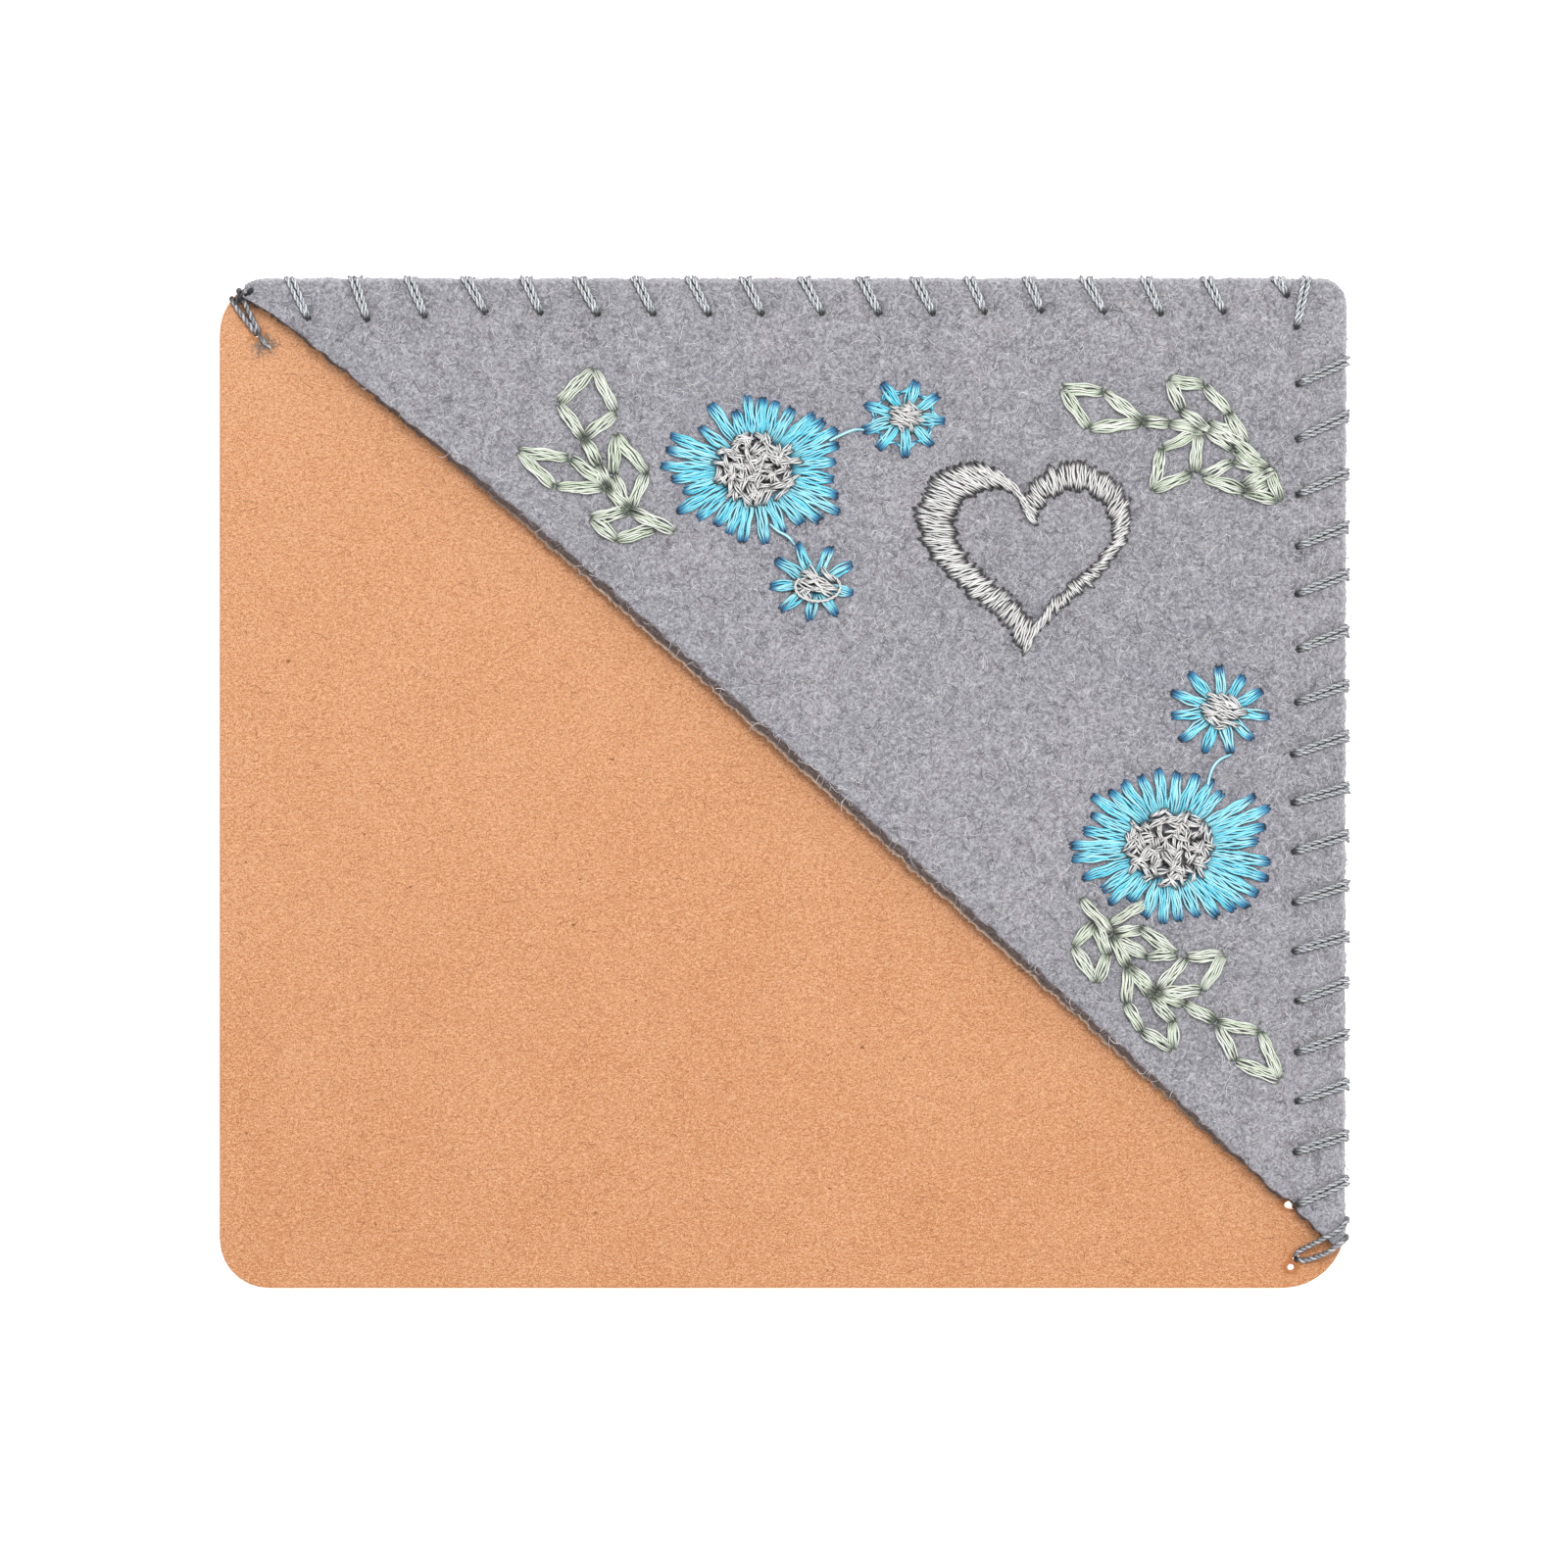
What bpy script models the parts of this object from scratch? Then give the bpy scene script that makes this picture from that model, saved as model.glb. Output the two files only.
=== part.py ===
"""Felt corner pocket: a kraft card with an embroidered felt triangle whip-stitched to two of its edges.

Lengths are in millimetres until a mesh is made. The drawing's origin is the middle of the card's back,
+X runs to the right, +Y to the top edge and +Z out of the felt. The last step moves the whole part so
that its own bounding box stands on the world origin.
"""
import math

import bmesh
import bpy
from mathutils import Vector

MM = 0.001

# ---------------------------------------------------------------- driving dimensions
CARD_WIDTH = 80.0
CARD_HEIGHT = 71.7
CARD_CORNER = 3.5
CARD_THICKNESS = 0.6

FELT_THICKNESS = 1.2
FELT_CORNER = 2.3
POCKET_GAP = 0.3            # between the card and the felt along the seams
POCKET_RISE = 1.0           # how much further the felt bows up at the middle of the mouth
MOUTH_START = (-38.3, 34.5)
MOUTH_END = (39.75, -33.4)
MOUTH_BOW = 0.98            # the mouth's edge is a slightly hollow line

SEAM_STRAND = 0.40          # one strand of the doubled seam thread
STRAND_SPACING = 0.46       # between the middles of the two strands
THREAD_CLEARANCE = 0.1      # between any thread and what it lies on
STITCH_HOLE = 1.05
TOP_SEAM_INSET = 2.6
RIGHT_SEAM_INSET = 3.6

THREAD_EASE = 0.3           # how far before a turn a thread starts to bend

EMBROIDERY_THICKNESS = 0.35
CENTRE_THICKNESS = 0.7
CENTRE_ROUNDING = 0.2
PETAL_WIDTH = 0.6
SPRIG_STITCH_WIDTH = 0.7
EMBROIDERY_STRAND = 0.25
BOBBIN_THICKNESS = 0.1
BOBBIN_STITCH_WIDTH = 0.4
KNOT_DIAMETER = 0.6
SPARE_HOLE_SIZE = 0.45
FELT_GRID = 20              # cells across the sheet that the bowed felt is cut from

# ---------------------------------------------------------------- sizes that follow from them
RIGHT_EDGE = CARD_WIDTH / 2
TOP_EDGE = CARD_HEIGHT / 2
FELT_LOW = CARD_THICKNESS + POCKET_GAP
FELT_HIGH = FELT_LOW + FELT_THICKNESS
THREAD_OFFSET = THREAD_CLEARANCE + SEAM_STRAND / 2
TOP_HOLE_LINE = TOP_EDGE - TOP_SEAM_INSET
RIGHT_HOLE_LINE = RIGHT_EDGE - RIGHT_SEAM_INSET
POCKET_WIDTH = RIGHT_HOLE_LINE - MOUTH_START[0]
POCKET_HEIGHT = TOP_HOLE_LINE - MOUTH_END[1]
EMBROIDERY_LOW = FELT_HIGH + THREAD_CLEARANCE
EMBROIDERY_HIGH = EMBROIDERY_LOW + EMBROIDERY_THICKNESS
BOBBIN_HIGH = FELT_LOW - THREAD_CLEARANCE
BOBBIN_LOW = BOBBIN_HIGH - BOBBIN_THICKNESS

# ---------------------------------------------------------------- where the seam starts, turns and ends
# The seam is sewn by hand, so its stitches are uneven and each one is listed.
# Right seam, from the bottom to the top: the hole's x and y, and the y where the thread turns over the edge.
RIGHT_STITCHES = [
    (36.45, -29.9, -28.2), (36.3, -26.15, -24.95), (36.45, -22.55, -21.3), (36.4, -19.1, -17.8),
    (36.4, -15.45, -14.1), (36.2, -11.9, -10.8), (36.2, -8.45, -7.2), (36.2, -4.85, -3.65),
    (36.15, -1.35, -0.25), (36.1, 2.05, 3.4), (36.4, 5.75, 7.0), (36.5, 9.5, 10.9),
    (36.45, 13.45, 14.85), (36.45, 16.8, 18.25), (36.5, 20.5, 22.0), (36.45, 24.4, 26.1),
    (36.5, 28.35, 29.95),
]
# Top seam, from the corner to the left: the hole's x and y, and the x where the thread turns over the edge.
TOP_STITCHES = [
    (36.45, 32.35, 37.2), (35.85, 34.6, 35.05), (31.35, 33.4, 30.1), (26.85, 33.3, 25.75),
    (22.9, 33.4, 21.45), (18.4, 33.5, 17.4), (14.4, 33.4, 13.25), (10.7, 33.3, 9.45),
    (6.9, 33.3, 5.6), (2.85, 33.3, 1.45), (-1.4, 33.3, -2.7), (-5.2, 33.25, -6.55),
    (-9.15, 33.3, -10.4), (-13.1, 33.25, -14.5), (-17.15, 33.35, -18.3), (-21.05, 33.4, -22.45),
    (-25.35, 33.1, -26.5), (-29.45, 32.9, -30.45), (-33.65, 32.95, -34.95),
]
START_TIE_HOLE = (36.55, -33.6)
START_TIE_EDGE = (RIGHT_EDGE, -31.6)
END_TIE_HOLE = (-37.3, 31.9)
END_TIE_OUTWARD = (math.cos(math.radians(142)), math.sin(math.radians(142)))
END_TIE_EDGE = (-RIGHT_EDGE + CARD_CORNER * (1 + END_TIE_OUTWARD[0]),
                TOP_EDGE - CARD_CORNER * (1 - END_TIE_OUTWARD[1]))
SPARE_HOLE = (36.1, -34.45)
KNOT_PLACE = (-38.0, 34.75)
TAIL = [(-36.95, 31.35), (-36.7, 31.15), (-36.45, 30.85)]

# ---------------------------------------------------------------- embroidery
# Flowers: the pad is the half sizes of the knotted centre, the tips run anticlockwise, and the valley is how
# far out the petals part, as a share of the way to the tips.
FLOWERS = {
    "upper_flower": {
        "centre": (-1.9, 22.3), "pad": (3.1, 2.6), "valley": 0.74,
        "tips": [
            (3.85, 22.85), (4.0, 24.05), (4.0, 25.15), (3.0, 25.75), (2.25, 26.3), (0.7, 26.6),
            (-0.4, 27.2), (-1.4, 27.4), (-2.5, 27.6), (-3.45, 26.4), (-5.2, 27.0),
            (-5.9, 25.3), (-8.1, 24.75), (-8.3, 23.75), (-8.8, 22.55), (-7.9, 21.6),
            (-7.1, 20.7), (-7.5, 19.2), (-6.1, 18.7), (-4.7, 18.3), (-3.8, 17.65),
            (-2.9, 17.05), (-1.2, 16.9), (0.05, 17.7), (1.4, 18.4), (2.7, 18.6), (4.15, 19.1),
            (4.0, 20.4), (3.7, 21.6),
        ],
    },
    "right_flower": {
        "centre": (27.4, -4.5), "pad": (3.3, 2.85), "valley": 0.74,
        "tips": [
            (33.9, -4.05), (34.3, -3.05), (34.75, -1.65), (33.6, -0.8), (31.25, -0.55),
            (30.55, 0.3), (29.4, 0.8), (28.0, 0.85), (26.65, 1.15), (25.4, 0.6), (24.1, 0.2),
            (23.2, -0.5), (21.8, -0.75), (21.9, -2.2), (21.2, -3.3), (20.35, -4.35),
            (20.4, -5.4), (21.25, -6.75), (22.6, -7.55), (23.15, -8.55), (24.6, -8.35),
            (25.7, -9.5), (26.95, -10.0), (28.1, -9.8), (29.4, -9.5), (30.9, -9.45),
            (32.1, -9.1), (33.1, -8.8), (33.85, -7.9), (34.5, -6.8), (34.75, -5.6),
        ],
    },
    "top_blossom": {
        "centre": (8.7, 26.0), "pad": (0.95, 0.9), "valley": 0.5,
        "tips": [
            (11.55, 25.7), (11.05, 27.5), (9.45, 28.55), (7.1, 28.4), (5.8, 26.85),
            (5.7, 25.05), (6.8, 23.7), (8.75, 23.15), (10.65, 24.0),
        ],
    },
    "middle_blossom": {
        "centre": (2.3, 14.15), "pad": (1.4, 0.95), "valley": 0.55,
        "tips": [
            (4.95, 15.55), (3.4, 16.8), (1.0, 17.05), (-0.5, 15.9), (-0.95, 13.95),
            (-0.15, 12.3), (1.9, 11.6), (3.85, 12.0), (5.05, 13.5),
        ],
    },
    "side_blossom": {
        "centre": (31.1, 5.15), "pad": (1.3, 1.2), "valley": 0.55,
        "tips": [
            (34.6, 4.75), (34.05, 6.55), (32.7, 7.7), (30.95, 8.35), (28.85, 7.9), (27.6, 6.5),
            (27.5, 4.75), (28.2, 3.1), (29.9, 2.15), (31.8, 2.1), (33.4, 3.15),
        ],
    },
}

# Sprigs: each run is one row of stitches, with a stitch from each point to the next.
SPRIGS = {
    "left_sprig": [
        [(-14.1, 24.5), (-15.9, 27.0), (-13.4, 29.5), (-11.8, 26.35), (-14.1, 24.5)],
        [(-14.1, 24.5), (-13.0, 22.6), (-12.4, 21.0), (-10.9, 19.4), (-7.6, 17.8)],
        [(-12.4, 21.0), (-15.1, 23.1), (-18.8, 23.6), (-16.1, 21.0), (-12.6, 21.0)],
        [(-10.9, 19.4), (-12.0, 21.9), (-11.85, 24.8), (-9.65, 22.0), (-10.8, 19.4)],
        [(-10.9, 19.4), (-13.6, 18.8), (-11.8, 17.3), (-9.1, 18.1)],
    ],
    "corner_sprig": [
        [(25.5, 25.65), (22.75, 27.85), (19.8, 28.1), (21.7, 25.15), (25.5, 25.65)],
        [(25.5, 25.65), (27.4, 25.6), (29.95, 25.1), (31.95, 23.75), (34.55, 22.3), (35.3, 20.0)],
        [(29.95, 25.3), (28.35, 26.5), (27.4, 28.65), (29.95, 28.2), (31.7, 26.25), (32.9, 24.1)],
        [(30.3, 25.5), (32.2, 24.7)],
        [(29.5, 24.95), (26.9, 23.8), (26.3, 20.8), (28.95, 22.05)],
        [(29.5, 24.95), (29.2, 22.0)],
        [(34.4, 22.3), (31.95, 22.8), (29.75, 21.8), (32.75, 20.7), (35.2, 20.1)],
        [(32.7, 21.2), (34.5, 22.1)],
        [(33.0, 20.7), (34.5, 21.3)],
    ],
    "lower_sprig": [
        [(21.1, -8.15), (23.4, -10.7), (24.5, -13.0), (26.5, -14.8), (28.5, -15.6), (30.7, -16.9)],
        [(24.8, -13.2), (26.1, -15.1)],
        [(22.45, -9.65), (20.65, -11.5), (22.25, -14.1), (23.1, -12.1), (22.45, -9.65)],
        [(23.4, -10.7), (25.4, -10.3), (27.95, -12.1), (25.85, -12.3), (23.5, -10.9)],
        [(24.5, -13.0), (24.4, -15.6), (25.5, -17.5), (27.65, -18.85), (27.7, -16.85), (26.1, -15.1)],
        [(26.6, -14.7), (28.6, -12.35), (31.3, -12.1), (29.75, -14.7), (26.6, -14.8)],
        [(30.7, -16.9), (33.85, -17.55), (35.3, -21.0), (32.1, -19.65), (30.8, -17.0)],
    ],
}

HEART_CENTRE = (17.1, 15.9)
HEART_SIZE = 15.0
HEART_OPENING = 0.76        # the inner outline's size as a share of the outer one's
HEART_OPENING_SHIFT = 0.75  # makes the left strokes wide and the right ones thin

# Jump threads run over bare felt from one flower to the next.
JUMP_THREADS = [
    [(4.3, 24.7), (4.8, 24.95), (5.3, 25.1)],
    [(0.35, 17.5), (0.55, 17.35), (0.72, 17.2)],
    [(31.45, 1.75), (31.0, 1.5), (30.75, 1.1), (30.65, 0.75)],
]
LOOSE_LOOP_CENTRE = (2.5, 13.95)
LOOSE_LOOP_SIZE = (1.6, 1.05)

COLOURS = {                 # linear RGB, roughness
    "kraft_paper": ((0.76, 0.38, 0.19), 0.85),
    "grey_felt": ((0.37, 0.37, 0.41), 0.95),
    "seam_thread": ((0.22, 0.27, 0.31), 0.55),
    "blue_thread": ((0.10, 0.52, 0.80), 0.40),
    "green_thread": ((0.55, 0.68, 0.45), 0.40),
    "silver_thread": ((0.60, 0.60, 0.62), 0.35),
    "bobbin_thread": ((0.85, 0.85, 0.85), 0.60),
}


# ---------------------------------------------------------------- scene helpers
def clear_scene():
    """Remove whatever the opened file holds."""
    for item in list(bpy.data.objects):
        bpy.data.objects.remove(item, do_unlink=True)


def new_collection(name):
    """Add a collection to the scene."""
    collection = bpy.data.collections.new(name)
    bpy.context.scene.collection.children.link(collection)
    return collection


def principled_material(name):
    """Make the Principled material of one of the seven real materials."""
    colour, roughness = COLOURS[name]
    material = bpy.data.materials.new(name)
    material.use_nodes = True
    shader = material.node_tree.nodes["Principled BSDF"]
    shader.inputs["Base Color"].default_value = (*colour, 1.0)
    shader.inputs["Roughness"].default_value = roughness
    return material


def add_part(name, data, material_name):
    """Put one sub-part in the part's collection, under the root empty."""
    part = bpy.data.objects.new(name, data)
    PARTS.objects.link(part)
    part.parent = ROOT
    material = principled_material(material_name)
    material.name = f"{material_name}_{name}"
    data.materials.clear()
    data.materials.append(material)
    return part


def add_cutter(name, mesh):
    """Put a Boolean tool in the cutters' collection, out of sight."""
    cutter = bpy.data.objects.new(name, mesh)
    CUTTERS.objects.link(cutter)
    cutter.parent = ROOT
    cutter.hide_render = True
    cutter.display_type = "WIRE"
    return cutter


def add_boolean(part, operation, cutter):
    """Add an exact Boolean modifier."""
    boolean = part.modifiers.new(f"{operation.lower()} {cutter.name}", "BOOLEAN")
    boolean.operation = operation
    boolean.solver = "EXACT"
    boolean.object = cutter


def mesh_from(source):
    """Turn an evaluated object into a welded mesh with its faces pointing out."""
    depsgraph = bpy.context.evaluated_depsgraph_get()
    mesh = bpy.data.meshes.new_from_object(source.evaluated_get(depsgraph))
    shell = bmesh.new()
    shell.from_mesh(mesh)
    bmesh.ops.remove_doubles(shell, verts=shell.verts, dist=1e-7)
    bmesh.ops.recalc_face_normals(shell, faces=shell.faces)
    shell.to_mesh(mesh)
    shell.free()
    return mesh


# ---------------------------------------------------------------- shape helpers
def pocket_rise(x, y):
    """Height that the bowed felt adds over a point: none at the seams, most at the mouth's middle."""
    across = max(0.0, (RIGHT_HOLE_LINE - x) / POCKET_WIDTH)
    down = max(0.0, (TOP_HOLE_LINE - y) / POCKET_HEIGHT)
    return 4 * POCKET_RISE * across * down


def lay_on_felt(mesh):
    """Bend a flat mesh so that it follows the bowed felt."""
    for vertex in mesh.vertices:
        vertex.co.z += pocket_rise(vertex.co.x / MM, vertex.co.y / MM) * MM


def arc(centre, radius, start, end, steps=6):
    """Points along an arc, with its angles in degrees."""
    points = []
    for step in range(steps + 1):
        angle = math.radians(start + (end - start) * step / steps)
        points.append((centre[0] + radius * math.cos(angle), centre[1] + radius * math.sin(angle)))
    return points


def ellipse(centre, half_sizes, steps=28):
    """Points round an ellipse."""
    points = []
    for step in range(steps):
        angle = 2 * math.pi * step / steps
        x = centre[0] + half_sizes[0] * math.cos(angle)
        y = centre[1] + half_sizes[1] * math.sin(angle)
        points.append((x, y))
    return points


def plate_mesh(outlines, low, high):
    """A flat plate between two heights, from one outer outline and any number of holes."""
    curve = bpy.data.curves.new("outline", "CURVE")
    curve.dimensions = "2D"
    curve.fill_mode = "BOTH"
    curve.extrude = (high - low) / 2 * MM
    for outline in outlines:
        spline = curve.splines.new("POLY")
        spline.points.add(len(outline) - 1)
        spline.use_cyclic_u = True
        for point, (x, y) in zip(spline.points, outline):
            point.co = (x * MM, y * MM, 0.0, 1.0)
    holder = bpy.data.objects.new("outline", curve)
    bpy.context.scene.collection.objects.link(holder)
    mesh = mesh_from(holder)
    bpy.data.objects.remove(holder, do_unlink=True)
    for vertex in mesh.vertices:
        vertex.co.z += (low + high) / 2 * MM
    return mesh


def tube_curve(name, points, diameter, closed=False):
    """A round thread through a list of points."""
    curve = bpy.data.curves.new(name, "CURVE")
    curve.dimensions = "3D"
    curve.bevel_depth = diameter / 2 * MM
    curve.bevel_resolution = 0
    curve.use_fill_caps = not closed
    spline = curve.splines.new("POLY")
    spline.points.add(len(points) - 1)
    spline.use_cyclic_u = closed
    for point, place in zip(spline.points, points):
        point.co = (*(Vector(place) * MM), 1.0)
    return curve


def union_mesh(meshes):
    """Join overlapping closed meshes into one body."""
    group = new_collection("union pieces")
    pieces = [bpy.data.objects.new("piece", mesh) for mesh in meshes]
    bpy.context.scene.collection.objects.link(pieces[0])
    for piece in pieces[1:]:
        group.objects.link(piece)
    union = pieces[0].modifiers.new("union", "BOOLEAN")
    union.operation = "UNION"
    union.solver = "EXACT"
    union.operand_type = "COLLECTION"
    union.collection = group
    mesh = mesh_from(pieces[0])
    for piece in pieces:
        bpy.data.objects.remove(piece, do_unlink=True)
    bpy.data.collections.remove(group)
    return mesh


# ---------------------------------------------------------------- stitch holes
def seam_holes():
    """Where the thread goes through the card and the felt."""
    return [(x, y) for x, y, turn in RIGHT_STITCHES + TOP_STITCHES]


def hole_cutter(name, holes, low, high):
    """One tool with a round punch at every hole."""
    punches = bmesh.new()
    for (x, y), diameter in holes:
        made = bmesh.ops.create_cone(punches, cap_ends=True, segments=10, radius1=diameter / 2 * MM,
                                     radius2=diameter / 2 * MM, depth=(high - low) * MM)
        bmesh.ops.translate(punches, verts=made["verts"], vec=Vector((x, y, (low + high) / 2)) * MM)
    mesh = bpy.data.meshes.new(name)
    punches.to_mesh(mesh)
    punches.free()
    return add_cutter(name, mesh)


# ---------------------------------------------------------------- card and felt
def card_outline():
    """The card's outline: a rectangle with round corners, the pocket's corner being tighter."""
    inner_x = RIGHT_EDGE - CARD_CORNER
    inner_y = TOP_EDGE - CARD_CORNER
    felt_corner = (RIGHT_EDGE - FELT_CORNER, TOP_EDGE - FELT_CORNER)
    return (arc((-inner_x, -inner_y), CARD_CORNER, 180, 270) + arc((inner_x, -inner_y), CARD_CORNER, 270, 360)
            + arc(felt_corner, FELT_CORNER, 0, 90)
            + arc((-inner_x, inner_y), CARD_CORNER, 90, 180))


def make_card():
    """The kraft card, pierced at every stitch."""
    card = add_part("kraft_card", plate_mesh([card_outline()], 0.0, CARD_THICKNESS), "kraft_paper")
    holes = [(hole, STITCH_HOLE) for hole in seam_holes() + [START_TIE_HOLE, END_TIE_HOLE]]
    holes.append((SPARE_HOLE, SPARE_HOLE_SIZE))
    add_boolean(card, "DIFFERENCE", hole_cutter("card_punches", holes, -1.0, CARD_THICKNESS + 1.0))


def mouth_point(share):
    """A point on the felt's mouth edge, from its top left end to its bottom right end."""
    start = Vector(MOUTH_START)
    along = Vector(MOUTH_END) - start
    inward = Vector((-along.y, along.x)).normalized()
    hollow = MOUTH_BOW * math.sin(math.pi * share ** 0.55) * math.sqrt(1 - share)
    return tuple(start + along * share + inward * hollow)


def felt_outline():
    """The felt's outline: the mouth, then round the bottom right, top right and top left corners."""
    mouth = [mouth_point(step / 24) for step in range(25)]
    corner = (RIGHT_EDGE - FELT_CORNER, TOP_EDGE - FELT_CORNER)
    left_corner = (-RIGHT_EDGE + CARD_CORNER, TOP_EDGE - CARD_CORNER)
    return (mouth + [(RIGHT_EDGE, MOUTH_END[1] + 0.5)] + arc(corner, FELT_CORNER, 0, 90)
            + arc(left_corner, CARD_CORNER, 90, 118, steps=3))


def make_felt():
    """The felt triangle: a thick bowed sheet trimmed to the outline and pierced at every stitch."""
    sheet = bmesh.new()
    bmesh.ops.create_grid(sheet, x_segments=FELT_GRID, y_segments=FELT_GRID, size=(RIGHT_EDGE + 2) * MM)
    mesh = bpy.data.meshes.new("felt_pocket")
    sheet.to_mesh(mesh)
    sheet.free()
    lay_on_felt(mesh)
    felt = add_part("felt_pocket", mesh, "grey_felt")
    felt.location.z = FELT_LOW * MM
    thickness = felt.modifiers.new("thickness", "SOLIDIFY")
    thickness.thickness = FELT_THICKNESS * MM
    thickness.offset = 1.0
    outline = plate_mesh([felt_outline()], FELT_LOW - 1.0, FELT_HIGH + POCKET_RISE + 1.0)
    add_boolean(felt, "INTERSECT", add_cutter("felt_outline", outline))
    holes = [(hole, STITCH_HOLE) for hole in seam_holes()]
    cutter = hole_cutter("felt_punches", holes, FELT_LOW - 1.0, FELT_HIGH + POCKET_RISE + 1.0)
    add_boolean(felt, "DIFFERENCE", cutter)


# ---------------------------------------------------------------- seam thread
def strand_route(turns, side):
    """The route of one strand of the doubled thread.

    Each turn is (hole, edge, outward): the strand comes up through the hole, crosses the felt to the edge
    point, wraps round the edge along the outward direction and passes under the card to the next hole.
    side is +1 or -1, for the strand's side of the pair.
    """
    high = FELT_HIGH + THREAD_OFFSET
    low = -THREAD_OFFSET
    ease = THREAD_EASE
    route = []
    for number, (hole, edge, outward) in enumerate(turns):
        hole = Vector(hole)
        edge = Vector(edge)
        outward = Vector(outward)
        front = (edge - hole).normalized()
        if number + 1 < len(turns):
            back = (Vector(turns[number + 1][0]) - edge).normalized()
        else:
            back = -outward
        if number > 0:
            arrival = (hole - Vector(turns[number - 1][1])).normalized()
        else:
            arrival = back
        # The two strands lie side by side, so each is set off square to the way that the pair runs.
        front_side = Vector((front.y, -front.x)) * side * STRAND_SPACING / 2
        arrival_side = Vector((-arrival.y, arrival.x)) * side * STRAND_SPACING / 2
        middle_side = (front_side + arrival_side).normalized() * STRAND_SPACING / 2
        along_edge = Vector((outward.y, -outward.x)) * side * STRAND_SPACING / 2
        front_edge = along_edge / abs(front.dot(outward))
        back_edge = along_edge / abs(back.dot(outward))
        outside = edge + outward * THREAD_OFFSET
        route += [
            (hole - arrival * ease + arrival_side).to_3d() + Vector((0, 0, low)),
            (hole + arrival_side).to_3d() + Vector((0, 0, low + ease)),
            (hole + middle_side).to_3d() + Vector((0, 0, (low + high) / 2)),
            (hole + front_side).to_3d() + Vector((0, 0, high - ease)),
            (hole + front * ease + front_side).to_3d() + Vector((0, 0, high)),
            (edge + front_edge).to_3d() + Vector((0, 0, high)),
            (outside + front_edge).to_3d() + Vector((0, 0, high - ease)),
            (outside + back_edge).to_3d() + Vector((0, 0, low + ease)),
            (edge + back_edge).to_3d() + Vector((0, 0, low)),
        ]
    return route


def right_turns():
    """Turns of the right seam, from the bottom to the top."""
    return [((x, y), (RIGHT_EDGE, turn), (1, 0)) for x, y, turn in RIGHT_STITCHES]


def top_turns():
    """Turns of the corner and the top seam, from the corner to the left."""
    return [((x, y), (turn, TOP_EDGE), (0, 1)) for x, y, turn in TOP_STITCHES]


def make_seam_thread():
    """Both strands of both seams."""
    for seam, turns in (("right", right_turns()), ("top", top_turns())):
        for number, side in ((1, 1), (2, -1)):
            name = f"{seam}_whip_strand_{number}"
            add_part(name, tube_curve(name, strand_route(turns, side), SEAM_STRAND), "seam_thread")


def tie_route(hole, edge, outward, side, over):
    """A closed loop of one strand through a hole in the card and round the card's edge."""
    hole = Vector(hole)
    edge = Vector(edge)
    outward = Vector(outward).normalized()
    along_edge = Vector((outward.y, -outward.x)) * side * STRAND_SPACING / 2
    run = (edge - hole).normalized()
    across = Vector((run.y, -run.x)) * side * STRAND_SPACING / 2
    high = over + THREAD_OFFSET
    low = -THREAD_OFFSET
    outside = edge + outward * THREAD_OFFSET + along_edge
    return [
        (hole + across).to_3d() + Vector((0, 0, low + 0.2)),
        (hole + across).to_3d() + Vector((0, 0, CARD_THICKNESS + THREAD_OFFSET - 0.2)),
        (hole + run * 0.3 + across).to_3d() + Vector((0, 0, CARD_THICKNESS + THREAD_OFFSET)),
        (hole + run * 1.4 + across).to_3d() + Vector((0, 0, high)),
        (edge - run * 0.4 + along_edge).to_3d() + Vector((0, 0, high)),
        outside.to_3d() + Vector((0, 0, high - 0.3)),
        outside.to_3d() + Vector((0, 0, low + 0.3)),
        (edge - run * 0.3 + along_edge).to_3d() + Vector((0, 0, low)),
        (hole + run * 0.4 + across).to_3d() + Vector((0, 0, low)),
    ]


def make_ties():
    """The loops that hold the thread's two ends."""
    ties = (("start_tie", START_TIE_HOLE, START_TIE_EDGE, (1, 0), FELT_HIGH),
            ("end_tie", END_TIE_HOLE, END_TIE_EDGE, END_TIE_OUTWARD, CARD_THICKNESS))
    for tie, hole, edge, outward, over in ties:
        for number, side in ((1, 1), (2, -1)):
            name = f"{tie}_strand_{number}"
            route = tie_route(hole, edge, outward, side, over)
            add_part(name, tube_curve(name, route, SEAM_STRAND, closed=True), "seam_thread")


def make_knot():
    """The knot on the felt's tip at the seam's end."""
    knot = bmesh.new()
    bmesh.ops.create_uvsphere(knot, u_segments=12, v_segments=8, radius=KNOT_DIAMETER / 2 * MM)
    mesh = bpy.data.meshes.new("end_knot")
    knot.to_mesh(mesh)
    knot.free()
    mesh.shade_smooth()
    knot_part = add_part("end_knot", mesh, "seam_thread")
    knot_part.location = Vector((*KNOT_PLACE, FELT_HIGH + THREAD_CLEARANCE + KNOT_DIAMETER / 2)) * MM


def make_tail():
    """The thread's cut end, loose on the card."""
    height = CARD_THICKNESS + THREAD_OFFSET
    route = [(x, y, height) for x, y in TAIL]
    add_part("thread_tail", tube_curve("thread_tail", route, SEAM_STRAND), "seam_thread")


# ---------------------------------------------------------------- embroidery
def petals_outline(centre, valley, tips):
    """A ring of petals: each has a tip between two shoulders, and a valley before the next."""
    middle = Vector(centre)
    points = []
    for tip, following in zip(tips, tips[1:] + tips[:1]):
        tip = Vector(tip)
        run = (tip - middle).normalized()
        side = Vector((-run.y, run.x)) * PETAL_WIDTH / 2
        shoulder = tip - run * PETAL_WIDTH / 2
        between = (tip + Vector(following)) / 2
        points += [shoulder - side, tip, shoulder + side, middle + (between - middle) * valley]
    return [tuple(point) for point in points]


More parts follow.
